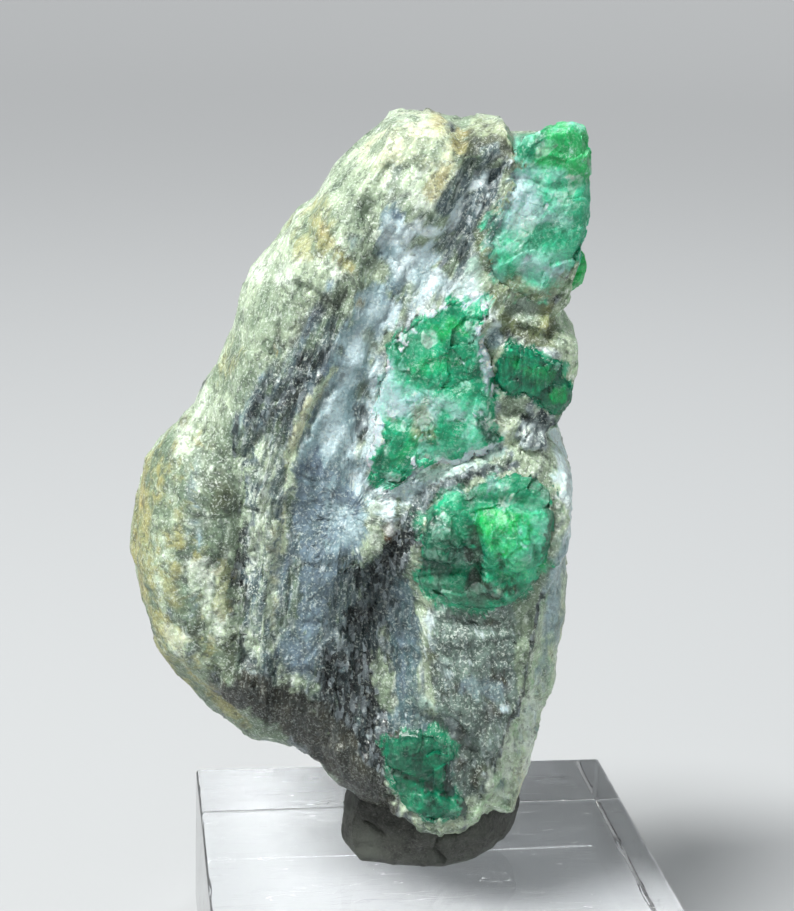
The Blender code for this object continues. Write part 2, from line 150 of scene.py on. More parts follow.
PUTTY_FOOTPRINT = table("-6.9 -3.9, -3 -4.6, 1.2 -4.7, 4.4 -2.9, 6.6 -0.4, 7.6 2.2, 6.6 5.2, 2.5 6.8, "
                        "-3 6.9, -6.4 5, -7.9 1.5, -7.8 -1.8")
PUTTY_UNDERSIDE = 0.32
PUTTY_SECTION = table("0 0 0, 0.22 0.74 0, 0.3 0.9 0.7, 0.42 1 2.4, 0.6 0.99 4.2, 0.74 0.84 6.1, 1 0 6.6")
PUTTY_SOFTNESS = 0.05

# The schist's layers stand on edge and run along this line, from the foot to the top.
FOLIATION = table("-13 5, -13.5 22, -12.8 33, -11.3 38.9, -7.9 46.8, -5.8 52, -2.5 58, 0.5 63")
# What scrambles a lattice cell: a large odd number for each axis, for the seed and for the mix.
SCRAMBLE = (73856093, 19349663, 83492791, 2654435761, 1274126177)
WORD = 0xFFFFFFFF
SHORT = 0xFFFF
CELL_JITTER = 0.42
FAR = 1e9
# How a patch's edge is made: its least raggedness, and the shares of its width that it fades over.
LEAST_RAGGED = 0.15
EDGE_FADE = 0.3
BROKEN_FADE = 0.16
# Turns the points between one octave of noise and the next, so that the cells of two never line up.
OCTAVE_TURN = np.array(Matrix.Rotation(0.9, 3, Vector((0.3, 0.8, 0.5)).normalized()))


# ---------------------------------------------------------------------------- noise and lines


def lattice(cells: Array, seed: int) -> Array:
    """Return a fixed number from -1 to 1 for each whole-number cell.

    Args:
        cells: whole numbers, one row of three for each cell.
        seed: picks one set of numbers.
    """
    one, two, three = (cells.astype(np.int64) & SHORT).T
    mixed = one * SCRAMBLE[0] ^ two * SCRAMBLE[1] ^ three * SCRAMBLE[2] ^ seed * SCRAMBLE[3]
    mixed = (mixed ^ (mixed >> 13)) * SCRAMBLE[4] & WORD
    return ((mixed ^ (mixed >> 16)) & SHORT) / (SHORT / 2.0) - 1.0


def value_noise(points: Array, size: float, seed: int) -> Array:
    """Return smooth noise from -1 to 1: the cell corners' numbers, blended across each cell.

    Args:
        points: one row of three for each place.
        size: the width of a cell.
        seed: picks one noise.
    """
    scaled = points / size
    cells = np.floor(scaled)
    part = scaled - cells
    blend = part * part * (3.0 - 2.0 * part)
    total = np.zeros(len(points))
    for corner in range(8):
        step = np.array([corner & 1, corner >> 1 & 1, corner >> 2 & 1])
        weight = np.prod(np.where(step, blend, 1.0 - blend), axis=1)
        total += weight * lattice(cells + step, seed)
    return total


def fractal(points: Array, size: float, seed: int, octaves: int = 3, gain: float = 0.5) -> Array:
    """Return noise of several sizes: each octave is half as wide and gain times as strong.

    Args:
        points: one row of three for each place.
        size: the widest cells.
        seed: picks one noise.
        octaves: how many sizes are added.
        gain: each octave's strength as a share of the one before.

    Returns:
        One number for each place, mostly from -1 to 1.
    """
    total, weight, reach = np.zeros(len(points)), 1.0, 0.0
    for octave in range(octaves):
        total += weight * value_noise(points, size, seed + 31 * octave)
        reach += weight * weight
        points, size, weight = points @ OCTAVE_TURN.T, size / 2.0, weight * gain
    return total / math.sqrt(reach)


@dataclass
class CellField:
    """What scattered cell centres give each place.

    near and second are the distances to the two nearest centres, as a share of the cell size. tag is
    the nearest centre's own number from -1 to 1, and slope the place's step from that centre along a
    direction of the centre's own: it makes each cell a flat, tilted facet.
    """

    near: Array
    second: Array
    tag: Array
    slope: Array

    @property
    def border(self) -> Array:
        """How far each place is from the nearest border between two cells."""
        return self.second - self.near


def cell_field(points: Array, size: float, seed: int) -> CellField:
    """Scatter one centre in each cell and look for the nearest two among the 27 cells around.

    Args:
        points: one row of three for each place.
        size: the width of a cell.
        seed: picks one set of centres.
    """
    scaled = points / size
    cells = np.floor(scaled)
    near, second = np.full(len(points), FAR), np.full(len(points), FAR)
    home, arm = np.zeros_like(points), np.zeros_like(points)
    for index in range(27):
        here = cells + np.array([index % 3 - 1, index // 3 % 3 - 1, index // 9 - 1])
        jitter = np.stack([lattice(here, seed + axis) for axis in range(3)], axis=1)
        step = scaled - here - 0.5 - CELL_JITTER * jitter
        distance = np.sqrt(np.square(step).sum(axis=1))
        closer = distance < near
        second = np.where(closer, near, np.minimum(second, distance))
        near = np.where(closer, distance, near)
        home[closer], arm[closer] = here[closer], step[closer]
    lean = np.stack([lattice(home, seed + 5 + axis) for axis in range(3)], axis=1)
    return CellField(near, second, lattice(home, seed + 9), (arm * lean).sum(axis=1))


def roughened(points: Array, lumps: tuple) -> Array:
    """Return the points, each moved a little in every direction by noise of each size."""
    moved = points.copy()
    for size, sideways, deep, seed in lumps:
        for axis, reach in enumerate((sideways, deep, sideways)):
            moved[:, axis] += reach * value_noise(points, size, seed + axis)
    return moved


def smooth(value: Array, low: float, high: float) -> Array:
    """Return 0 up to low, 1 from high on, and a smooth rise between them."""
    share = np.clip((value - low) / (high - low), 0.0, 1.0)
    return share * share * (3.0 - 2.0 * share)


def soft_interp(places: Array, stops: tuple, values: tuple, reach: float) -> Array:
    """Return values between stops with the corners rounded: the mean of nine samples round each place."""
    offsets = np.linspace(-reach, reach, 9)
    return np.mean([np.interp(places + offset, stops, values) for offset in offsets], axis=0)


def along_outline(outline: tuple, fractions: Array) -> Array:
    """Return the values of an outline's rows at these fractions of the way round it."""
    ring = np.array(list(outline) + [outline[0]], float)
    reach = np.concatenate([[0.0], np.cumsum(np.hypot(*np.diff(ring[:, :2], axis=0).T))])
    places = (fractions % 1.0) * reach[-1]
    return np.stack([np.interp(places, reach, column) for column in ring.T], axis=1)


def follow_line(u: Array, w: Array, line: tuple) -> tuple[Array, Array]:
    """Find the nearest point of a line of straight pieces for each place.

    Args:
        u: places to the right.
        w: places up.
        line: the line's points, whose first two values are u and w.

    Returns:
        The signed distance, positive on the line's left, and how many of the line's pieces, whole
        and part, come before the nearest point.
    """
    nearest, side, reach = np.full(u.shape, FAR), np.ones(u.shape), np.zeros(u.shape)
    for index, (start, stop) in enumerate(zip(line, line[1:])):
        du, dw = stop[0] - start[0], stop[1] - start[1]
        from_u, from_w = u - start[0], w - start[1]
        share = np.clip((from_u * du + from_w * dw) / (du * du + dw * dw), 0.0, 1.0)
        distance = np.hypot(from_u - share * du, from_w - share * dw)
        closer = distance < nearest
        nearest = np.where(closer, distance, nearest)
        side = np.where(closer, np.sign(du * from_w - dw * from_u), side)
        reach = np.where(closer, index + share, reach)
    return nearest * side, reach


def to_outline(u: Array, w: Array, outline: tuple) -> Array:
    """Return each place's distance to a closed outline, positive inside."""
    closed = tuple(outline) + (outline[0],)
    inside = np.zeros(u.shape, bool)
    for (u0, w0), (u1, w1) in zip(closed, closed[1:]):
        crosses = (w0 > w) != (w1 > w)
        level = w1 - w0 if w1 != w0 else 1.0
        inside ^= crosses & (u < (u1 - u0) * (w - w0) / level + u0)
    distance = np.abs(follow_line(u, w, closed)[0])
    return np.where(inside, distance, -distance)


# ---------------------------------------------------------------------------- tones and minerals


class Tone(Enum):
    """Colours of the minerals: display values of red, green and blue in hundredths."""

    SAGE = (58, 65, 55)
    DEEP_SAGE = (42, 50, 41)
    PALE_SAGE = (75, 82, 70)
    OLIVE = (65, 64, 41)
    DARK_OLIVE = (28, 32, 23)
    CHALK = (90, 95, 89)
    CREAM = (84, 86, 72)
    OCHRE = (68, 62, 38)
    RUST = (60, 40, 17)
    BLUE_GREY = (59, 70, 72)
    DEEP_BLUE_GREY = (41, 49, 55)
    TEAL_GREY = (36, 48, 50)
    LAVENDER = (80, 89, 91)
    FROST = (88, 94, 95)
    SLATE = (34, 42, 44)
    DARK_SLATE = (20, 26, 27)
    SILVER = (72, 78, 78)
    BLACK_MICA = (9, 12, 12)
    # BROWN is painted darker than the schist's own brown, as painted shade of the underside; the other rocks
    # that use it share that darkness.
    BROWN = (23, 23, 18)
    DARK_BROWN = (14, 15, 12)
    BEIGE = (58, 65, 52)
    GNEISS = (49, 58, 53)
    DARK_GNEISS = (36, 43, 40)
    MINT_WHITE = (78, 90, 84)
    PALE_MINT = (66, 80, 73)
    PALE_GREEN = (62, 76, 60)
    VIVID = (8, 75, 38)
    GRASS = (3, 66, 33)
    BRIGHT = (30, 84, 65)
    GREEN = (10, 75, 54)
    DEEP_GREEN = (3, 58, 41)
    DARK_GREEN = (1, 37, 27)
    BLACK_GREEN = (3, 17, 14)
    MILKY_GREEN = (54, 86, 76)
    MILKY_BLUE = (70, 89, 88)
    GREY_GREEN = (34, 56, 46)
    HONEY = (47, 52, 36)

    @property
    def linear(self) -> Array:
        """The colour in linear light."""
        return linear_light(np.array(self.value) / 100.0)


def linear_light(values: Array) -> Array:
    """Return display values as linear light, by the usual curve of a screen."""
    return np.where(values <= 0.04045, values / 12.92, ((values + 0.055) / 1.055) ** 2.4)


class Relief(Enum):
    """The ways in which a mineral's surface is broken."""

    CRUST = "weathered crust: soft lumps with small grains and pits"
    SHEETS = "edges of thin sheets that run along the layers"
    FLAKES = "overlapping tilted flakes"
    GLASSY = "smooth with shallow dimples"
    SUGAR = "fine even grains"
    SHARDS = "flat fracture facets with small steps"


@dataclass(frozen=True)
class Mineral:
    """One mineral's surface and colours.

    body and shade are mixed in patches, and fleck covers the share of flecks as small spots. depth
    is the reach of the relief in millimetres. streaky draws everything out along the layers.
    """

    relief: Relief
    body: Tone
    shade: Tone
    fleck: Tone
    flecks: float
    depth: float
    mica: float = 0.0
    gloss: float = 0.2
    streaky: float = 0.5


class Rock(Enum):
    """The minerals and mixtures that the stone and its crystals are painted with.

    A row holds a mineral's values in the order of Mineral's fields.
    """

    SAGE_CRUST = "CRUST SAGE DEEP_SAGE CHALK 0.16 0.25 0.1 0.14 0.3"
    PALE_CRUST = "CRUST PALE_SAGE SAGE CHALK 0.22 0.27 0.1 0.17 0.35"
    OLIVE_CRUST = "CRUST OLIVE DEEP_SAGE CREAM 0.08 0.14 0 0.18 0.2"
    DARK_CRUST = "CRUST DEEP_SAGE DARK_OLIVE SAGE 0.15 0.24 0.1 0.12 0.35"
    WHITE_CRUST = "SUGAR CHALK PALE_SAGE CHALK 0.3 0.23 0 0.2 0.4"
    CREAM_CRUST = "CRUST CREAM PALE_SAGE CHALK 0.22 0.27 0 0.17 0.4"
    OCHRE_STAIN = "CRUST OCHRE OLIVE CREAM 0.1 0.17 0 0.1 0.3"
    RUST_STAIN = "CRUST RUST OCHRE BROWN 0.1 0.14 0 0.1 0.2"
    GREY_SCHIST = "SHEETS SLATE DEEP_SAGE SILVER 0.2 0.29 0.5 0.35 0.75"
    PALE_SCHIST = "SHEETS PALE_SAGE SLATE CHALK 0.26 0.27 0.2 0.25 0.8"
    BROWN_SCHIST = "SHEETS BROWN DARK_BROWN BEIGE 0.08 0.29 0.1 0.15 0.7"
    BLACK_MICA = "FLAKES BLACK_MICA DARK_SLATE SILVER 0.11 0.34 1 0.7 0.35"
    BLUE_MICA = "FLAKES SLATE BLACK_MICA FROST 0.18 0.28 0.8 0.6 0.8"
    BLUE_QUARTZ = "GLASSY BLUE_GREY DEEP_BLUE_GREY FROST 0.14 0.17 0.1 0.5 0.4"
    TEAL_QUARTZ = "GLASSY TEAL_GREY DARK_SLATE FROST 0.13 0.18 0.3 0.5 0.5"
    # Blue-grey quartz of the lower zones: partly its own darker tone, partly painted shade of the stone's
    # lower part.
    DUSK_QUARTZ = "GLASSY DEEP_BLUE_GREY SLATE FROST 0.15 0.18 0.15 0.45 0.4"
    PALE_QUARTZ = "GLASSY LAVENDER BLUE_GREY FROST 0.16 0.17 0.05 0.5 0.3"
    WHITE_QUARTZ = "SUGAR FROST LAVENDER CHALK 0.25 0.2 0 0.5 0.3"
    MINT_VEIN = "SUGAR MINT_WHITE PALE_MINT CHALK 0.2 0.17 0 0.5 0.3"
    GNEISS = "SUGAR GNEISS DARK_GNEISS SILVER 0.22 0.2 0.3 0.3 0.3"
    DARK_GNEISS = "SUGAR DARK_GNEISS BROWN SILVER 0.15 0.2 0.4 0.3 0.3"
    BEIGE_SHELF = "SUGAR BEIGE HONEY CREAM 0.2 0.22 0 0.35 0.4"
    RIM_GREY = "GLASSY BLUE_GREY GNEISS CHALK 0.14 0.18 0.05 0.5 0.5"
    RIM_PALE = "SUGAR PALE_SAGE PALE_GREEN CHALK 0.26 0.2 0 0.4 0.4"
    PEPPER = "SUGAR SILVER DARK_SLATE CHALK 0.26 0.3 0.4 0.4 0.1"
    VIVID = "SHARDS VIVID GRASS BRIGHT 0.1 0.18 0 0.9 0.3"
    BRIGHT = "SHARDS BRIGHT VIVID MILKY_GREEN 0.2 0.18 0 0.8 0.3"
    GREEN = "SHARDS GREEN DEEP_GREEN BRIGHT 0.14 0.18 0 0.9 0.3"
    DEEP = "SHARDS DEEP_GREEN DARK_GREEN GREEN 0.16 0.18 0 1 0.4"
    DARK = "SHARDS DARK_GREEN BLACK_GREEN DEEP_GREEN 0.2 0.18 0 1 0.4"
    MILKY = "SHARDS MILKY_GREEN BRIGHT FROST 0.16 0.18 0 0.6 0.3"
    BLUE_MILK = "GLASSY MILKY_BLUE MILKY_GREEN FROST 0.2 0.2 0 0.6 0.3"
    FROSTED = "SUGAR MINT_WHITE MILKY_GREEN CHALK 0.3 0.17 0 0.5 0.3"
    MURKY = "SHARDS GREY_GREEN DEEP_GREEN MINT_WHITE 0.12 0.18 0 0.7 0.3"
    BROWN_FILM = "SHARDS BROWN DARK_BROWN HONEY 0.16 0.18 0 0.5 0.3"
    SPECKS = "SHARDS BLACK_GREEN BLACK_MICA GREEN 0.2 0.1 0 0.8 0.3"

    @property
    def mineral(self) -> Mineral:
        """The mineral that the member's row describes."""
        relief, body, shade, fleck, *numbers = self.value.split()
        return Mineral(Relief[relief], Tone[body], Tone[shade], Tone[fleck], *map(float, numbers))


@dataclass(frozen=True)
class Patch:
    """A mineral's patch: everything within a half width of a line, with a ragged edge.

    Each point of the line is (u, w, half width). A patch with one point is round. soft is the width
    of its edge, ragged how far noise moves that edge, and strength how much it covers. A broken patch
    shows only where its mineral's own noise is over that value: 0 leaves about half of it, in blotches.
    """

    rock: Rock
    line: Rows
    soft: float
    ragged: float
    strength: float = 1.0
    broken: float | None = None

    def cover(self, ground: Ground) -> Array:
        """Return how far the patch covers each place, from 0 to 1.

        The edge is where the distance to the line equals the half width there plus noise.
        """
        if len(self.line) == 1:
            u0, w0, half = self.line[0]
            distance = np.hypot(ground.u - u0, ground.w - w0)
        else:
            signed, reach = follow_line(ground.u, ground.w, self.line)
            distance = np.abs(signed)
            half = np.interp(reach, np.arange(len(self.line)), [row[2] for row in self.line])
        edge = half + (LEAST_RAGGED + self.ragged) * ground.wander - distance
        cover = self.strength * smooth(edge, -EDGE_FADE * self.soft, EDGE_FADE * self.soft)
        if self.broken is not None:
            low, high = self.broken - BROKEN_FADE, self.broken + BROKEN_FADE
            cover *= smooth(ground.blotches(self.rock), low, high)
        return cover


def read_patches(text: str) -> tuple[Patch, ...]:
    """Return the patches that a table describes, lowest first.

    A row holds a mineral and its patch's soft, ragged, strength and broken as far as they are given,
    then a colon and the rows of its line. It goes on in the next row where it ends in a comma.
    """
    made = []
    for row in text.replace(",\n", ",").splitlines():
        if ":" in row:
            head, line = row.split(":")
            rock, *numbers = head.split()
            made.append(Patch(Rock[rock], table(line), *map(float, numbers)))
    return tuple(made)


@dataclass
class Ground:
    """The places that a piece is painted and roughened at, with the noises that they share."""

    points: Array
    seed: int = 0
    u: Array = field(init=False)
    w: Array = field(init=False)
    height: Array = field(init=False)
    sheets: Array = field(init=False)
    wander: Array = field(init=False)
    kept: dict[Rock, Array] = field(default_factory=dict)

    def __post_init__(self) -> None:
        """Lay out the layers' coordinates and the noise that makes the patches' edges ragged.

        sheets holds, for each place, its distance across the layers and a sixth of its way along
        them and into the stone, so that any noise of these is drawn out six times along a layer.
        """
        self.u, self.w, self.height = self.points[:, 0], self.points[:, 2], -self.points[:, 1]
        across, reach = follow_line(self.u, self.w, FOLIATION)
        steps = np.hypot(*np.diff(np.array(FOLIATION), axis=0).T)
        length = np.concatenate([[0.0], np.cumsum(steps)])
        along = np.interp(reach, np.arange(len(length)), length)
        bend = 0.5 * value_noise(self.points, 6.0, 91 + self.seed)
        self.sheets = np.stack([across + bend, along / 6.0, self.points[:, 1] / 4.0], axis=1)
        self.wander = (0.9 * fractal(self.points, 2.1, 201 + self.seed, 5, 0.7)
                       + 0.4 * fractal(self.sheets, 0.8, 207 + self.seed, 4, 0.7))

    def blotches(self, rock: Rock) -> Array:
        """Return the noise that breaks a mineral's patches up, drawn out along the layers."""
        if rock not in self.kept:
            seed = 441 + self.seed + 7 * list(Rock).index(rock)
            round_ones = fractal(self.points, 2.6, seed, 5, 0.75)
            long_ones = fractal(self.sheets, 0.9, seed + 3, 4, 0.75)
            self.kept[rock] = round_ones + rock.mineral.streaky * (long_ones - round_ones)
        return self.kept[rock]

    def reliefs(self) -> dict[Relief, Array]:
        """Return each kind of relief as a share of its depth, mostly from -1 to 1.

        CRUST adds soft lumps to round grains. SHEETS is noise drawn out along the layers, with a
        ridge where it crosses zero. FLAKES is cells that are drawn out and tilted. GLASSY is soft
        lumps. SUGAR is small tilted grains, and SHARDS larger and smaller ones.
        """
        seed = self.seed
        grains = cell_field(self.points, 0.75, 301 + seed)
        flakes = cell_field(self.sheets, 0.55, 311 + seed)
        sugar = cell_field(self.points, 0.55, 321 + seed)
        shards = cell_field(roughened(self.points, ((3.0, 0.5, 0.5, 5),)), 2.4, 331 + seed)
        chips = cell_field(self.points, 0.9, 341 + seed)
        sheets = fractal(self.sheets, 0.9, 351 + seed, 3, 0.6)
        lumps = fractal(self.points, 2.0, 361 + seed, 3, 0.5)
        creases = fractal(self.sheets, 0.5, 371 + seed, 2)
        return {
            Relief.CRUST: 0.8 * lumps + 0.5 * (0.5 - grains.near) - 0.5 * (grains.tag > 0.86),
            Relief.SHEETS: 0.9 * sheets + 0.3 * lumps - 0.5 * np.abs(creases),
            Relief.FLAKES: 1.3 * flakes.slope + 0.5 * flakes.tag + 0.3 * sheets,
            Relief.GLASSY: 0.8 * lumps + 0.5 * chips.slope,
            Relief.SUGAR: 0.5 * lumps + 0.8 * sugar.slope + 0.4 * sugar.tag,
            Relief.SHARDS: (1.3 * shards.slope + 0.25 * shards.tag + 0.45 * chips.slope + 0.2 * chips.tag
                            + 0.1 * sugar.slope + 0.06 * sugar.tag + 0.6 * lumps),
        }


@dataclass
class Coat:
    """What painting gives a piece: a colour, a finish and a relief for each place."""

    tint: Array
    finish: Array
    relief: Array


def paint(ground: Ground, base: Rock, layers: list[tuple[Rock, Array]]) -> Coat:
    """Lay minerals over a base, in order, and mix what each mineral gives.

    A layer takes its share from what lies under it, so the shares always add up to one. A mineral's
    colour is its body mixed with its shade by noise and by the tags of small grains, with flecks
    where a finer noise is high. The whole is then lightened and darkened a little from grain to grain.

    Args:
        ground: the places.
        base: the mineral that everything is made of at first.
        layers: minerals and how far each covers every place, lowest first.
    """
    size, seed = len(ground.u), ground.seed
    shares = {base: np.ones(size)}
    for rock, cover in layers:
        for other in shares:
            shares[other] *= 1.0 - cover
        shares[rock] = shares.get(rock, np.zeros(size)) + cover
    blotch = fractal(ground.points, 2.4, 401 + seed, 5, 0.75)
    streak = fractal(ground.sheets, 0.7, 411 + seed, 4, 0.7)
    spots = fractal(ground.points, 0.55, 421 + seed, 2, 0.8)
    dashes = fractal(ground.sheets, 0.28, 431 + seed, 2, 0.8)
    grains = cell_field(roughened(ground.points, ((0.9, 0.3, 0.3, 433),)), 0.8, 435 + seed).tag
    slivers = cell_field(roughened(ground.sheets, ((0.5, 0.15, 0.15, 437),)), 0.45, 439 + seed).tag
    reliefs = ground.reliefs()
    tint, finish, relief = np.zeros((size, 3)), np.zeros((size, 4)), np.zeros(size)
    for rock, share in shares.items():
        mineral = rock.mineral
        grain = grains + mineral.streaky * (slivers - grains)
        mix = smooth(blotch + mineral.streaky * (streak - blotch) + 0.3 * grain, -0.42, 0.42)[:, None]
        colour = mineral.body.linear * (1.0 - mix) + mineral.shade.linear * mix
        fleck = spots + mineral.streaky * (dashes - spots) + 0.25 * grain
        limit = 1.05 - 1.9 * mineral.flecks
        fleck = smooth(fleck, limit - 0.10, limit + 0.10)[:, None]
        colour = colour * (1.0 - fleck) + mineral.fleck.linear * fleck
        tint += (share * (1.0 + 0.16 * grain))[:, None] * colour
        finish += share[:, None] * np.array([mineral.mica, mineral.gloss, mineral.flecks, mineral.streaky])
        relief += share * mineral.depth * reliefs[mineral.relief]
    return Coat(tint, finish, relief)


# ---------------------------------------------------------------------------- meshes


def to_world(points: Array, seat: float) -> Array:
    """Return points of the stone's frame in metres in the model's frame.

    They are turned by SEAT_TURN about the upright axis and lifted by the seat's height.
    """
    cosine, sine = math.cos(SEAT_TURN), math.sin(SEAT_TURN)
    turned = np.stack([points[:, 0] * cosine - points[:, 1] * sine,
                       points[:, 0] * sine + points[:, 1] * cosine, points[:, 2]], axis=1)
    return turned * MM + np.array([0.0, 0.0, seat])


def placed(name: str, data: bpy.types.ID) -> Object:
    """Return a new object in the scene that shows the data."""
    piece = bpy.data.objects.new(name, data)
    bpy.context.scene.collection.objects.link(piece)
    return piece


def grid_normals(grid: Array) -> Array:
    """Return outward unit normals of a closed grid of (around, place, 3) points.

    A normal is the cross product of the steps round the piece and from pole to pole, and each pole
    has the mean of its ring's. All are turned round if they point inwards on the whole.
    """
    around = np.roll(grid, -1, axis=0) - np.roll(grid, 1, axis=0)
    down = np.gradient(grid, axis=1)
    normals = np.cross(around, down)
    normals[:, 0] = normals[:, 1].mean(axis=0)
    normals[:, -1] = normals[:, -2].mean(axis=0)
    normals /= np.maximum(np.linalg.norm(normals, axis=2, keepdims=True), 1e-12)
    middle = grid.reshape(-1, 3).mean(axis=0)
    return normals if ((grid - middle) * normals).sum() > 0.0 else -normals


def lay_out(surface: Callable[[Array, Array], Array], around: int, spread: Array) -> Array:
    """Return a surface's points, place by place for each step round it.

    Args:
        surface: gives the points for fractions of the way round and places from pole to pole.
        around: how many steps go round.
        spread: the places.
    """
    fractions, places = np.meshgrid(np.arange(around) / around, spread, indexing="ij")
    return surface(fractions.ravel(), places.ravel())


def closed_mesh(name: str, points: Array, around: int, relief: Array, seat: float,
                colours: dict[str, Array], smooth_angle: float) -> Object:
    """Raise a closed surface's points by its relief along its normals and make its mesh.

    The first and the last place are poles. Each becomes one point with a fan of triangles, and the
    rings between are joined by quads that wrap round.

    Args:
        name: the piece's name.
        points: what lay_out gives, in the stone's frame.
        around: how many steps go round.
        relief: how far each point is moved outwards.
        seat: the height of the stone's frame in metres.
        colours: the values of each attribute, one row for each point.
        smooth_angle: edges sharper than this angle in degrees stay sharp.
    """
    normals = grid_normals(points.reshape(around, -1, 3)).reshape(-1, 3)
    grid = to_world(points + normals * relief[:, None], seat).reshape(around, -1, 3)
    count, places = grid.shape[:2]
    rings = places - 2
    index = np.arange(count * rings).reshape(rings, count)
    ahead = np.roll(index, -1, axis=1)
    quads = np.stack([index[:-1], ahead[:-1], ahead[1:], index[1:]], axis=-1).reshape(-1, 4)
    top, bottom = count * rings, count * rings + 1
    first = np.stack([np.full(count, top), ahead[0], index[0]], axis=1)
    last = np.stack([np.full(count, bottom), index[-1], ahead[-1]], axis=1)
    points = np.concatenate([grid[:, 1:-1].transpose(1, 0, 2).reshape(-1, 3), grid[:1, 0], grid[:1, -1]])
    loops = np.concatenate([quads.ravel(), first.ravel(), last.ravel()])
    totals = np.concatenate([np.full(len(quads), 4), np.full(2 * count, 3)])
    starts = np.concatenate([[0], np.cumsum(totals)[:-1]])
    corners = points[quads[:, [0, 1, 2]]]
    facing = np.cross(corners[:, 1] - corners[:, 0], corners[:, 2] - corners[:, 0])
    if (facing * (corners.mean(axis=1) - points.mean(axis=0))).sum() < 0.0:
        loops = np.concatenate([quads[:, ::-1].ravel(), first[:, ::-1].ravel(), last[:, ::-1].ravel()])
    mesh = bpy.data.meshes.new(name)
    mesh.vertices.add(len(points))
    mesh.vertices.foreach_set("co", points.astype(np.float32).ravel())
    mesh.loops.add(len(loops))
    mesh.loops.foreach_set("vertex_index", loops.astype(np.int32))
    mesh.polygons.add(len(totals))
    mesh.polygons.foreach_set("loop_start", starts.astype(np.int32))
    mesh.update(calc_edges=True)
    for key, values in colours.items():
        width = values.shape[-1]
        values = values.reshape(count, places, width)
        rows = values[:, 1:-1].transpose(1, 0, 2).reshape(-1, width)
        flat = np.concatenate([rows, values[:1, 0], values[:1, -1]]).astype(np.float32)
        if key == "layers":
            layer = mesh.attributes.new(key, "FLOAT_VECTOR", "POINT")
            layer.data.foreach_set("vector", flat.ravel())
        else:
            layer = mesh.attributes.new(key, "FLOAT_COLOR", "POINT")
            solid = flat if width == 4 else np.pad(flat, ((0, 0), (0, 1)), constant_values=1.0)
            layer.data.foreach_set("color", solid.ravel())
    mesh.shade_smooth()
    if smooth_angle < 180.0:
        mesh.set_sharp_from_angle(angle=math.radians(smooth_angle))
    return placed(name, mesh)


def pole_spacing(places: Array, count: int, fronts: float) -> Array:
    """Return places from 0 to 1 with a given share of them in the front part.

    Args:
        places: the place where the front part ends.
        count: how many places there are.
        fronts: the share of the places that the front part gets.
    """
    ahead = int(count * fronts)
    return np.concatenate([np.linspace(0.0, places, ahead, endpoint=False),
                           np.linspace(places, 1.0, count - ahead)])


# ---------------------------------------------------------------------------- shader groups


class Nodes:
    """Adds nodes to a tree and joins them, so that a finish reads as a few lines."""

    def __init__(self, tree: bpy.types.NodeTree) -> None:
        """Start on an empty tree."""
        self.tree = tree
        tree.nodes.clear()

    def feed(self, node: Node, **inputs: object) -> Node:
        """Give a node's inputs their values or links.

        Args:
            node: the node.
            **inputs: values or output sockets, by input name with _ for a space, or by _0, _1 and so on.

        Returns:
            The same node.
        """
        for key, value in inputs.items():
            socket = node.inputs[int(key[1:]) if key[0] == "_" else key.replace("_", " ")]
            if isinstance(value, Socket):
                self.tree.links.new(value, socket)
            else:
                socket.default_value = value
        return node

    def add(self, kind: str, settings: dict | None = None, **inputs: object) -> Node:
        """Add a node, set its properties and feed its inputs.

        Args:
            kind: the node's type, without the word Node in front.
            settings: properties of the node itself.
            **inputs: what feed takes.
        """
        node = self.tree.nodes.new("ShaderNode" + kind)
        for key, value in (settings or {}).items():
            setattr(node, key, value)
        return self.feed(node, **inputs)

    def group(self, group: Groups, **inputs: object) -> Node:
        """Place a node group and feed its inputs."""
        node = self.tree.nodes.new("ShaderNodeGroup")
        node.node_tree = bpy.data.node_groups[group.value]
        return self.feed(node, **inputs)

    def attribute(self, name: str) -> Node:
        """Add a node that reads a painted attribute."""
        return self.add("Attribute", {"attribute_name": name})

    def channel(self, colour: object, index: int) -> Socket:
        """Return one of a colour's channels."""
        return self.add("SeparateColor", Color=colour).outputs[index]

    def place(self) -> Socket:
        """Return the place in the piece's own coordinates."""
        return self.add("TexCoord").outputs["Object"]

    def noise(self, place: object, scale: object, detail: float, rough: float = 0.5) -> Node:
        """Add a noise texture."""
        return self.add("TexNoise", Vector=place, Scale=scale, Detail=detail, Roughness=rough)

    def math(self, operation: str, *values: object, clamp: bool = False) -> Socket:
        """Add a Math node and return its output."""
        inputs = {f"_{place}": value for place, value in enumerate(values)}
        return self.add("Math", {"operation": operation, "use_clamp": clamp}, **inputs).outputs[0]

    def plus(self, *values: object, clamp: bool = False) -> Socket:
        """Return one value plus another."""
        return self.math("ADD", *values, clamp=clamp)

    def less(self, *values: object, clamp: bool = False) -> Socket:
        """Return one value less another."""
        return self.math("SUBTRACT", *values, clamp=clamp)

    def times(self, *values: object, clamp: bool = False) -> Socket:
        """Return one value times another."""
        return self.math("MULTIPLY", *values, clamp=clamp)

    def scaled(self, vector: object, scale: object) -> Socket:
        """Return a vector times a number."""
        return self.add("VectorMath", {"operation": "SCALE"}, _0=vector, Scale=scale).outputs[0]

    def shifted(self, vector: object, step: object) -> Socket:
        """Return a vector plus a vector."""
        return self.add("VectorMath", {"operation": "ADD"}, _0=vector, _1=step).outputs[0]

    def mix(self, share: object, below: object, above: object, blend: str = "MIX") -> Socket:
        """Add a colour Mix node and return its output."""
        node = self.add("Mix", {"data_type": "RGBA", "blend_type": blend}, _0=share, _6=below, _7=above)
        return node.outputs[2]

    def ramp(self, value: object, low: float, high: float) -> Socket:
        """Return 0 up to low, 1 from high on, and a smooth rise between them."""
        settings = {"interpolation_type": "SMOOTHSTEP"}
        return self.add("MapRange", settings, Value=value, From_Min=low, From_Max=high).outputs[0]

    def surface(self, **inputs: object) -> None:
        """Add a material's shader and its output."""
        shader = self.add("BsdfPrincipled", **inputs)
        self.add("OutputMaterial", Surface=shader.outputs[0])


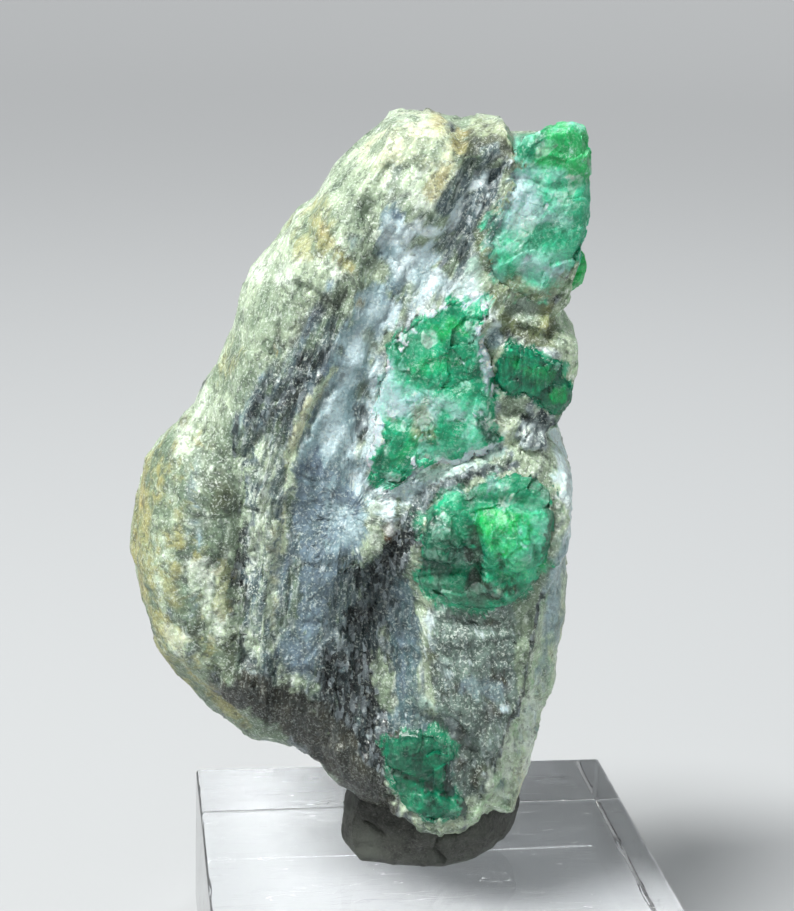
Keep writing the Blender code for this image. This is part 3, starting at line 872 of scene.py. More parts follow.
def new_group(name: str, inputs: dict, outputs: dict[str, str]) -> tuple[Nodes, dict, Node]:
    """Start a shader node group with named inputs and outputs.

    Args:
        name: the group's name.
        inputs: each input's first value: a number, a colour of four or a vector of three.
        outputs: each output's kind: Float, Color or Vector.

    Returns:
        The nodes, the input sockets by name and the output node.
    """
    tree = bpy.data.node_groups.new(name, "ShaderNodeTree")
    nodes = Nodes(tree)
    for key, value in inputs.items():
        size = len(value) if isinstance(value, tuple) else 1
        kind = {1: "NodeSocketFloat", 3: "NodeSocketVector", 4: "NodeSocketColor"}[size]
        tree.interface.new_socket(key, in_out="INPUT", socket_type=kind).default_value = value
    for key, kind in outputs.items():
        tree.interface.new_socket(key, in_out="OUTPUT", socket_type="NodeSocket" + kind)
    enter = tree.nodes.new("NodeGroupInput")
    leave = tree.nodes.new("NodeGroupOutput")
    return nodes, {socket.name: socket for socket in enter.outputs}, leave


class Groups(Enum):
    """The shader groups that more than one finish uses."""

    SPECKLE = "Fine speckle"
    FLAKES = "Mica flakes"
    FRACTURE = "Fractured crystal"
    SCRATCHES = "Fine scratches"

    def build(self) -> None:
        """Build this group."""
        {Groups.SPECKLE: build_speckle, Groups.FLAKES: build_flakes,
         Groups.FRACTURE: build_fracture, Groups.SCRATCHES: build_scratches}[self](self.value)


def build_speckle(name: str) -> None:
    """Build the group that gives a surface grains finer than its mesh.

    The grains are cells of two sizes, bent by noise. Their own numbers and two noises change the
    lightness about its mean by Contrast. Grains with a low sum turn to the dark colour, and small
    grains with a high sum to the light one, which are the glossy ones too. Size is in metres.
    """
    nodes, enter, leave = new_group(
        name, {"Place": (0.0, 0.0, 0.0), "Colour": (0.5, 0.5, 0.5, 1.0), "Light": (0.9, 0.9, 0.9, 1.0),
               "Dark": (0.1, 0.1, 0.1, 1.0), "Lights": 0.3, "Darks": 0.3, "Contrast": 0.5, "Size": 0.0003},
        {"Colour": "Color", "Gloss": "Float", "Height": "Float"})
    place, size = enter["Place"], enter["Size"]
    scale = nodes.math("DIVIDE", 1.0, size)
    wave = nodes.noise(place, nodes.times(scale, 0.9), 2.0).outputs["Color"]
    bent = nodes.shifted(place, nodes.scaled(wave, nodes.times(size, 1.8)))
    large = nodes.add("TexVoronoi", Vector=bent, Scale=scale)
    small = nodes.add("TexVoronoi", Vector=bent, Scale=nodes.times(scale, 2.3))
    own = nodes.times(nodes.channel(large.outputs["Color"], 0), 0.5)
    own_small = nodes.channel(small.outputs["Color"], 1)
    clump = nodes.noise(place, nodes.times(scale, 0.3), 4.0, 0.65).outputs[0]
    fine = nodes.noise(place, nodes.times(scale, 1.6), 2.0).outputs[0]
    dark_sum = nodes.plus(own, clump)
    light_sum = nodes.plus(nodes.times(own_small, 0.5), fine)
    swing = nodes.less(nodes.plus(dark_sum, nodes.times(light_sum, 0.7)), 1.275)
    level = nodes.math("MAXIMUM", nodes.plus(1.0, nodes.times(swing, enter["Contrast"])), 0.15)
    lit = nodes.scaled(enter["Colour"], level)
    dark = nodes.times(nodes.ramp(dark_sum, 0.62, 0.52), enter["Darks"])
    light = nodes.ramp(light_sum, 0.88, 0.98)
    shaded = nodes.mix(dark, lit, enter["Dark"])
    out = nodes.mix(nodes.times(light, enter["Lights"]), shaded, enter["Light"])
    steps = nodes.plus(nodes.plus(own, nodes.times(own_small, 0.35)), nodes.times(fine, 0.5))
    height = nodes.less(steps, nodes.times(large.outputs["Distance"], 0.5))
    nodes.feed(leave, Colour=out, Gloss=light, Height=height)


def build_flakes(name: str) -> None:
    """Build the group that tilts each small flake its own way, so that some of them catch the light.

    The flakes are cells, drawn out along the upright. A cell's own colour less a half, times Tilt,
    is added to the surface's normal. Size is in metres.
    """
    nodes, enter, leave = new_group(
        name, {"Size": 0.0003, "Tilt": 0.6, "Share": 1.0}, {"Normal": "Vector", "Glint": "Float"})
    drawn = nodes.add("Mapping", Vector=nodes.place(), Scale=(1.0, 0.6, 0.45), Rotation=(0.1, 0.35, 0.0))
    cells = nodes.add("TexVoronoi", Vector=drawn.outputs[0], Scale=nodes.math("DIVIDE", 1.0, enter["Size"]))
    own = cells.outputs["Color"]
    lean = nodes.scaled(nodes.shifted(own, (-0.5, -0.5, -0.5)), nodes.times(enter["Tilt"], enter["Share"]))
    leaning = nodes.shifted(nodes.add("NewGeometry").outputs["Normal"], lean)
    normal = nodes.add("VectorMath", {"operation": "NORMALIZE"}, _0=leaning).outputs[0]
    nodes.feed(leave, Normal=normal, Glint=nodes.ramp(nodes.channel(own, 0), 0.55, 0.9))


def build_fracture(name: str) -> None:
    """Build the group that gives a crystal its fine cracks, cloudy veils and frosted breaks.

    Cracks are where the distance to a cell's edge is near nothing, veils are soft noise, and frost
    is where a finer noise is high. Size is in metres.
    """
    nodes, enter, leave = new_group(
        name, {"Colour": (0.1, 0.6, 0.3, 1.0), "Frost": (0.8, 0.95, 0.9, 1.0),
               "Deep": (0.0, 0.2, 0.1, 1.0), "Frosting": 0.4, "Depths": 0.4, "Size": 0.001},
        {"Colour": "Color", "Rough": "Float", "Height": "Float"})
    place, size = nodes.place(), enter["Size"]
    scale = nodes.math("DIVIDE", 1.0, size)
    bend = nodes.noise(place, nodes.times(scale, 1.4), 3.0).outputs["Color"]
    warped = nodes.shifted(place, nodes.scaled(bend, nodes.times(size, 0.9)))
    edges = nodes.add("TexVoronoi", {"feature": "DISTANCE_TO_EDGE"}, Vector=warped, Scale=scale)
    cells = nodes.add("TexVoronoi", Vector=warped, Scale=nodes.times(scale, 2.6))
    tag = nodes.channel(cells.outputs["Color"], 0)
    fine = nodes.noise(place, nodes.times(scale, 5.0), 4.0, 0.7).outputs[0]
    soft = nodes.noise(place, nodes.times(scale, 0.9), 4.0, 0.65).outputs[0]
    crack = nodes.times(nodes.ramp(edges.outputs["Distance"], 0.03, 0.0), nodes.ramp(soft, 0.52, 0.68))
    frost = nodes.times(nodes.ramp(fine, 0.48, 0.66), nodes.ramp(soft, 0.46, 0.66))
    white = nodes.times(nodes.math("MAXIMUM", crack, frost), enter["Frosting"], clamp=True)
    veils = nodes.times(nodes.ramp(soft, 0.55, 0.3), nodes.ramp(tag, 0.2, 0.9))
    shaded = nodes.mix(nodes.times(veils, enter["Depths"], clamp=True), enter["Colour"], enter["Deep"])
    height = nodes.plus(nodes.times(fine, 0.5), nodes.times(tag, 0.35))
    nodes.feed(leave, Colour=nodes.mix(white, shaded, enter["Frost"]),
               Rough=nodes.plus(white, nodes.times(fine, 0.25)),
               Height=nodes.less(height, nodes.times(crack, 0.5)))


def build_scratches(name: str) -> None:
    """Build the group that gives a polished sheet its hairline scratches and faint haze.

    A scratch is where a long, thin noise crosses its middle value. Three sets cross each other.
    """
    nodes, enter, leave = new_group(
        name, {"Size": 0.004, "Amount": 1.0}, {"Scratch": "Float", "Haze": "Float"})
    place, lines = nodes.place(), 0.0
    for turn in (0.5, -0.9, 2.2):
        drawn = nodes.add("Mapping", Vector=place, Rotation=(0.2, 0.1, turn), Scale=(0.12, 2.2, 1.0))
        noise = nodes.noise(drawn.outputs[0], nodes.math("DIVIDE", 1.0, enter["Size"]), 2.0)
        away = nodes.math("ABSOLUTE", nodes.less(noise.outputs[0], 0.5))
        lines = nodes.math("MAXIMUM", lines, nodes.ramp(away, 0.0025, 0.0))
    where = nodes.noise(place, 160.0, 3.0).outputs[0]
    nodes.feed(leave, Scratch=nodes.times(nodes.times(lines, nodes.ramp(where, 0.45, 0.62)), enter["Amount"]),
               Haze=nodes.ramp(where, 0.35, 0.75))


# ---------------------------------------------------------------------------- finishes


def new_material(name: str) -> tuple[Material, Nodes]:
    """Return a new node material and its nodes."""
    made = bpy.data.materials.new(name)
    made.use_nodes = True
    return made, Nodes(made.node_tree)


@dataclass(frozen=True)
class StoneFinish:
    """The rock: painted colours with fine grains, mica that sparkles by its tilted flakes with a painted
    highlight of pale silver on some of them, and glossier quartz.
    """

    grain_size: float = 0.00034
    grain_light: Colour = (0.80, 0.88, 0.80, 1.0)
    grain_dark: Colour = (0.05, 0.07, 0.06, 1.0)
    streak_size: float = 0.00026
    streak_light: Colour = (0.80, 0.86, 0.80, 1.0)
    streak_dark: Colour = (0.045, 0.06, 0.055, 1.0)
    flake_size: float = 0.00030
    painted_sparkle_colour: Colour = (0.60, 0.70, 0.74, 1.0)
    dull: float = 0.66
    glossy: float = 0.26
    relief: float = 0.00010

    def material(self) -> Material:
        """Build the material."""
        made, nodes = new_material("mica_schist")
        painted = nodes.attribute("finish")
        mica, gloss, flecks = nodes.add("SeparateColor", Color=painted.outputs["Color"]).outputs
        streaky = nodes.ramp(painted.outputs["Alpha"], 0.25, 1.0)
        grains = nodes.group(
            Groups.SPECKLE, Place=nodes.place(), Colour=nodes.attribute("tint").outputs["Color"],
            Light=self.grain_light, Dark=self.grain_dark, Lights=nodes.times(flecks, 2.4, clamp=True),
            Darks=nodes.less(0.42, nodes.times(gloss, 0.5), clamp=True),
            Contrast=nodes.less(0.9, nodes.times(gloss, 0.8)), Size=self.grain_size)
        streaks = nodes.group(
            Groups.SPECKLE, Place=nodes.attribute("layers").outputs["Vector"],
            Colour=grains.outputs["Colour"], Light=self.streak_light, Dark=self.streak_dark,
            Lights=nodes.times(nodes.times(flecks, 1.8), streaky, clamp=True),
            Darks=nodes.times(streaky, 0.45), Contrast=nodes.times(streaky, 0.6), Size=self.streak_size)
        flakes = nodes.group(Groups.FLAKES, Size=self.flake_size, Tilt=0.8,
                             Share=nodes.plus(nodes.times(mica, 0.75), 0.25))
        # Painted highlight: the mica flakes that lean furthest one way are painted a pale silver and made
        # smoother.
        painted_sparkle = nodes.times(flakes.outputs["Glint"], mica)
        rough = nodes.less(self.dull, nodes.times(gloss, self.dull - self.glossy))
        rough = nodes.less(rough, nodes.times(grains.outputs["Gloss"], 0.22))
        drawn = nodes.times(streaks.outputs["Height"], nodes.times(streaky, 0.8))
        bump = nodes.add("Bump", Strength=1.0, Distance=self.relief, Normal=flakes.outputs["Normal"],
                         Height=nodes.plus(grains.outputs["Height"], drawn))
        nodes.surface(
            Base_Color=nodes.mix(nodes.times(painted_sparkle, 0.35), streaks.outputs["Colour"], self.painted_sparkle_colour),
            Roughness=nodes.less(rough, nodes.times(painted_sparkle, 0.2), clamp=True), Normal=bump.outputs[0],
            IOR=1.54, Subsurface_Weight=0.22, Subsurface_Radius=(0.8, 1.0, 0.9), Subsurface_Scale=0.0006)
        return made


@dataclass(frozen=True)
class EmeraldFinish:
    """An emerald: painted green and milky zones under a glassy, fractured skin."""

    name: str
    frosting: float
    depths: float
    subsurface: float
    transmission: float
    coat: float
    rough: float
    frost: Colour = (0.62, 0.88, 0.76, 1.0)
    deep: Colour = (0.002, 0.06, 0.03, 1.0)
    grain_light: Colour = (0.45, 0.78, 0.62, 1.0)
    grain_dark: Colour = (0.004, 0.07, 0.04, 1.0)
    size: float = 0.0011
    grain_size: float = 0.00038
    facet_size: float = 0.0008
    relief: float = 0.00007

    def material(self) -> Material:
        """Build the material."""
        made, nodes = new_material(self.name)
        gloss = nodes.channel(nodes.attribute("finish").outputs["Color"], 1)
        broken = nodes.group(
            Groups.FRACTURE, Colour=nodes.attribute("tint").outputs["Color"], Frost=self.frost,
            Deep=self.deep, Frosting=self.frosting, Depths=self.depths, Size=self.size)
        grains = nodes.group(
            Groups.SPECKLE, Place=nodes.place(), Colour=broken.outputs["Colour"], Light=self.grain_light,
            Dark=self.grain_dark, Lights=self.frosting * 0.3, Darks=self.depths * 0.5, Contrast=0.45,
            Size=self.grain_size)
        facets = nodes.group(Groups.FLAKES, Size=self.facet_size, Tilt=0.16, Share=1.0)
        rough = nodes.plus(self.rough, nodes.times(broken.outputs["Rough"], 0.35))
        height = nodes.plus(broken.outputs["Height"], nodes.times(grains.outputs["Height"], 0.5))
        bump = nodes.add("Bump", Strength=1.0, Distance=self.relief, Height=height,
                         Normal=facets.outputs["Normal"])
        nodes.surface(
            Base_Color=grains.outputs["Colour"], Normal=bump.outputs[0], IOR=1.58,
            Roughness=nodes.plus(rough, nodes.times(nodes.less(1.0, gloss), 0.35), clamp=True),
            Subsurface_Weight=self.subsurface, Subsurface_Radius=(0.35, 1.0, 0.7),
            Subsurface_Scale=0.0016, Specular_IOR_Level=0.35, Transmission_Weight=self.transmission,
            Coat_Weight=self.coat, Coat_Roughness=0.2)
        return made


@dataclass(frozen=True)
class PuttyFinish:
    """Dark grey-brown mounting putty: matt, with fine grit and a faint greasy sheen."""

    colour: Colour = (0.058, 0.060, 0.052, 1.0)
    light: Colour = (0.17, 0.18, 0.15, 1.0)
    dark: Colour = (0.012, 0.012, 0.011, 1.0)
    smeared: Colour = (0.095, 0.105, 0.088, 1.0)
    grit_size: float = 0.0003
    relief: float = 0.0001

    def material(self) -> Material:
        """Build the material."""
        made, nodes = new_material("grey_putty")
        place = nodes.place()
        specks = nodes.group(Groups.SPECKLE, Place=place, Colour=self.colour, Light=self.light,
                             Dark=self.dark, Lights=0.35, Darks=0.5, Contrast=0.5, Size=self.grit_size)
        smear = nodes.noise(place, 260.0, 4.0, 0.6).outputs[0]
        bump = nodes.add("Bump", Strength=1.0, Distance=self.relief, Height=specks.outputs["Height"])
        nodes.surface(
            Base_Color=nodes.mix(nodes.ramp(smear, 0.42, 0.68), specks.outputs["Colour"], self.smeared),
            Roughness=nodes.plus(0.48, nodes.times(smear, 0.3)), Normal=bump.outputs[0])
        return made


@dataclass(frozen=True)
class AcrylicFinish:
    """Clear acrylic: a little haze, hairline scratches and shadows that let the light through."""

    clear: float = 0.02
    shadow: float = 0.40
    colour: Colour = (0.97, 0.98, 0.99, 1.0)
    scratch_size: float = 0.004
    relief: float = 0.00001

    def material(self) -> Material:
        """Build the material."""
        made, nodes = new_material("clear_acrylic")
        marks = nodes.group(Groups.SCRATCHES, Size=self.scratch_size, Amount=1.0)
        scratch = marks.outputs["Scratch"]
        rough = nodes.plus(self.clear, nodes.times(marks.outputs["Haze"], 0.05))
        bump = nodes.add("Bump", {"invert": True}, Strength=0.5, Distance=self.relief, Height=scratch)
        shaded = nodes.times(nodes.add("LightPath").outputs["Is Shadow Ray"], 1.0 - self.shadow)
        nodes.surface(
            Base_Color=self.colour, Roughness=nodes.plus(rough, nodes.times(scratch, 0.3), clamp=True),
            Alpha=nodes.less(1.0, shaded), Normal=bump.outputs[0], IOR=1.49, Transmission_Weight=1.0)
        return made


@dataclass(frozen=True)
class FloorFinish:
    """The plain pale floor, matt all over."""

    colour: Colour = (0.46, 0.47, 0.48, 1.0)
    rough: float = 0.75

    def material(self) -> Material:
        """Build the material."""
        made, nodes = new_material("pale_floor")
        nodes.surface(Base_Color=self.colour, Roughness=self.rough)
        return made


# ---------------------------------------------------------------------------- the stone


def face_height(u: Array, w: Array) -> Array:
    """Return the height of the stone's face over its mid plane: a gentle crown with steps and bumps.

    The crown falls away in straight slopes to the left and the top. A step adds its rise on its
    line's left by a hyperbolic tangent, a ridge adds a bell curve across its line, and a bump adds
    exp(-r^4), where r is 1 on its ellipse. Noise moves each place a little first, so that no step or
    ridge runs smoothly.
    """
    place = np.stack([u, 0.0 * u, w], axis=1)
    u, w = u + 0.45 * fractal(place, 2.6, 531, 3, 0.6), w + 0.45 * fractal(place, 2.6, 537, 3, 0.6)
    height = np.full(u.shape, FACE_HEIGHT)
    height -= LEFT_FALL_SLOPE * np.maximum(0.0, LEFT_FALL_START - u)
    height -= TOP_FALL_SLOPE * np.maximum(0.0, w - TOP_FALL_START)
    for line, rise, half_width, reach in STEPS.values():
        distance = follow_line(u, w, line)[0]
        level = 0.5 + 0.5 * np.tanh(distance / half_width)
        height += rise * level * np.exp(-np.square(distance / reach))
    for line, rise, half_width in RIDGES.values():
        height += rise * np.exp(-np.square(follow_line(u, w, line)[0] / half_width))
    for (u0, w0), (half_long, half_wide), turn, rise in BUMPS.values():
        cosine, sine = math.cos(math.radians(turn)), math.sin(math.radians(turn))
        along = ((u - u0) * cosine + (w - w0) * sine) / half_long
        across = ((w - w0) * cosine - (u - u0) * sine) / half_wide
        height += rise * np.exp(-np.square(along * along + across * across))
    return height


def back_depth(u: Array, w: Array) -> Array:
    """Return the depth of the broken back: the lowest of its planes."""
    planes = [depth + rise_u * (u - MATRIX_CENTRE[0]) + rise_w * (w - MATRIX_CENTRE[1])
              for depth, rise_u, rise_w in BACK_PLANES]
    return np.min(planes, axis=0)


@dataclass
class Stone:
    """The mica schist that holds the crystals."""

    around: int = 620
    places: int = 160
    fronts: float = 0.68
    lip: float = 0.24
    pocket_depth: float = 2.6
    patches: tuple[Patch, ...] = ()
    crystals: tuple[Emerald, ...] = ()

    def surface(self, fractions: Array, places: Array) -> Array:
        """Return the stone's points for fractions round its outline and places from front to back pole.

        The face runs from the pole to the rim's inner edge, the rim is a quarter of a curve of its
        own roundness, and the back does the same from the other side.
        """
        rows = tuple((u, w, width, roundness)
                     for width, roundness, points in MATRIX_STRETCHES.values() for u, w in points)
        edge = along_outline(rows, -fractions)
        centre = np.array(MATRIX_CENTRE)
        arm = edge[:, :2] - centre
        radius = np.hypot(*arm.T)
        face_end, rim, back_start, end = MATRIX_BANDS
        front = places <= rim
        width = edge[:, 2] * np.where(front, 1.0, BACK_RIM_RATIO)
        turn = np.interp(places, (face_end, rim, back_start), (0.0, 1.0, 0.0)) * math.pi / 2
        power = 2.0 / edge[:, 3]
        inset = width * (1.0 - np.sin(turn) ** power)
        flat = np.where(front, places / face_end, (end - places) / (end - back_start))
        share = np.where(turn > 0.0, 1.0 - inset / radius, np.minimum(flat, 1.0) * (1.0 - width / radius))
        u, w = (centre + arm * share[:, None]).T
        lift = np.cos(turn) ** power
        height = np.where(front, face_height(u, w) * lift, -back_depth(u, w) * lift)
        return roughened(np.stack([u, -height, w], axis=1), ROCK_LUMPS)

    def spread(self) -> Array:
        """Return the places from pole to pole, closest together on the face."""
        face_end, rim = MATRIX_BANDS[0], MATRIX_BANDS[1]
        face = int(self.places * self.fronts * 0.78)
        side = int(self.places * self.fronts) - face
        return np.concatenate([np.linspace(0.0, 1.0, face, endpoint=False) ** 0.85 * face_end,
                               np.linspace(face_end, rim, side, endpoint=False),
                               np.linspace(rim, 1.0, self.places - face - side)])

    def back_covers(self, ground: Ground) -> dict[Rock, Array]:
        """Return the minerals of the sides and the back: bands of schist, quartz and mica in layers."""
        bands = fractal(ground.sheets, 3.2, 501, 3, 0.5)
        thin = fractal(ground.sheets, 1.1, 511, 3, 0.6)
        patchy = fractal(ground.points, 7.0, 521, 3, 0.5)
        return {
            Rock.PALE_CRUST: smooth(bands, -0.15, 0.5),
            Rock.WHITE_CRUST: smooth(thin + 0.5 * patchy, 0.25, 0.6) * 0.6,
            Rock.DARK_CRUST: smooth(patchy, 0.35, 0.9) * 0.8,
            Rock.BLUE_QUARTZ: smooth(-bands, 0.45, 0.75),
            Rock.GREY_SCHIST: smooth(thin, 0.45, 0.8),
            Rock.BLACK_MICA: smooth(-thin - 0.3 * patchy, 0.55, 0.8),
            Rock.OCHRE_STAIN: smooth(-patchy, 0.75, 1.1) * 0.6,
        }

    def bed(self, points: Array) -> None:
        """Bring the face up or down to each crystal's edge, and sink a pocket under the crystal.

        Near the outline, the face turns to the crystal's own height there, a little higher or lower
        by noise, so that the two meet along a ragged line. The pocket starts further in.
        """
        u, w = points[:, 0], points[:, 2]
        ragged = fractal(points, 1.3, 541, 4, 0.6)
        for crystal in self.crystals:
            if crystal.root < 0.0:
                continue
            inside = to_outline(u, w, crystal.outline) + crystal.flare
            ahead = smooth(-points[:, 1], 1.0, 4.0)
            near = smooth(2.0 - np.abs(inside), 0.0, 1.1) * ahead * crystal.bedding
            top = np.max([lobe.height(u, w) for lobe in crystal.lobes], axis=0) - crystal.sunk
            points[:, 1] += (-top - self.lip * ragged - points[:, 1]) * near
            points[:, 1] += self.pocket_depth * smooth(inside + 0.4 * ragged, 0.6, 1.3) * ahead

    def halos(self, ground: Ground) -> list[tuple[Rock, Array]]:
        """Return the minerals round the crystals: halos that thin out, and green that spills over the lip."""
        layers = []
        for crystal in self.crystals:
            shore = crystal.shore(ground)
            layers.append((crystal.halo, crystal.halo_cover(ground, -shore)))
            if crystal.root > 0.0:
                green = smooth(shore, -0.08, 0.06)
                layers.append((crystal.base, green))
                layers += [(patch.rock, patch.cover(ground) * green) for patch in crystal.patches]
                layers.append((Rock.FROSTED, crystal.fragments(ground) * green))
        return layers

    def build(self, seat: float) -> Object:
        """Lay out the surface, bed the crystals, paint it, roughen it and make the mesh.

        Besides the minerals' relief, plates of 3 mm and 1.4 mm lean their own way over the whole
        stone, and ledges step across the layers.
        """
        spread = self.spread()
        points = lay_out(self.surface, self.around, spread)
        self.bed(points)
        ground = Ground(points)
        front = smooth(ground.height + 1.2 * ground.wander, -1.0, 2.5)
        face = [(patch.rock, patch.cover(ground)) for patch in self.patches] + self.halos(ground)
        layers = list(self.back_covers(ground).items()) + [(rock, cover * front) for rock, cover in face]
        coat = paint(ground, Rock.SAGE_CRUST, layers)
        plates = cell_field(roughened(points, ((4.0, 0.8, 0.8, 551),)), 3.2, 553)
        chips = cell_field(roughened(ground.sheets, ((1.2, 0.2, 0.2, 557),)), 1.3, 559)
        crags = 0.26 * plates.slope + 0.05 * plates.tag + 0.16 * chips.slope + 0.05 * chips.tag
        worn = smooth(np.minimum(spread, 1.0)[None, :].repeat(self.around, axis=0).ravel(), 0.40, 0.52)
        relief = (coat.relief + 1.3 * crags) * (1.0 - 0.4 * worn)
        return closed_mesh("schist_stone", points, self.around, relief, seat,
                           {"tint": coat.tint, "finish": coat.finish, "layers": ground.sheets * MM}, 180.0)
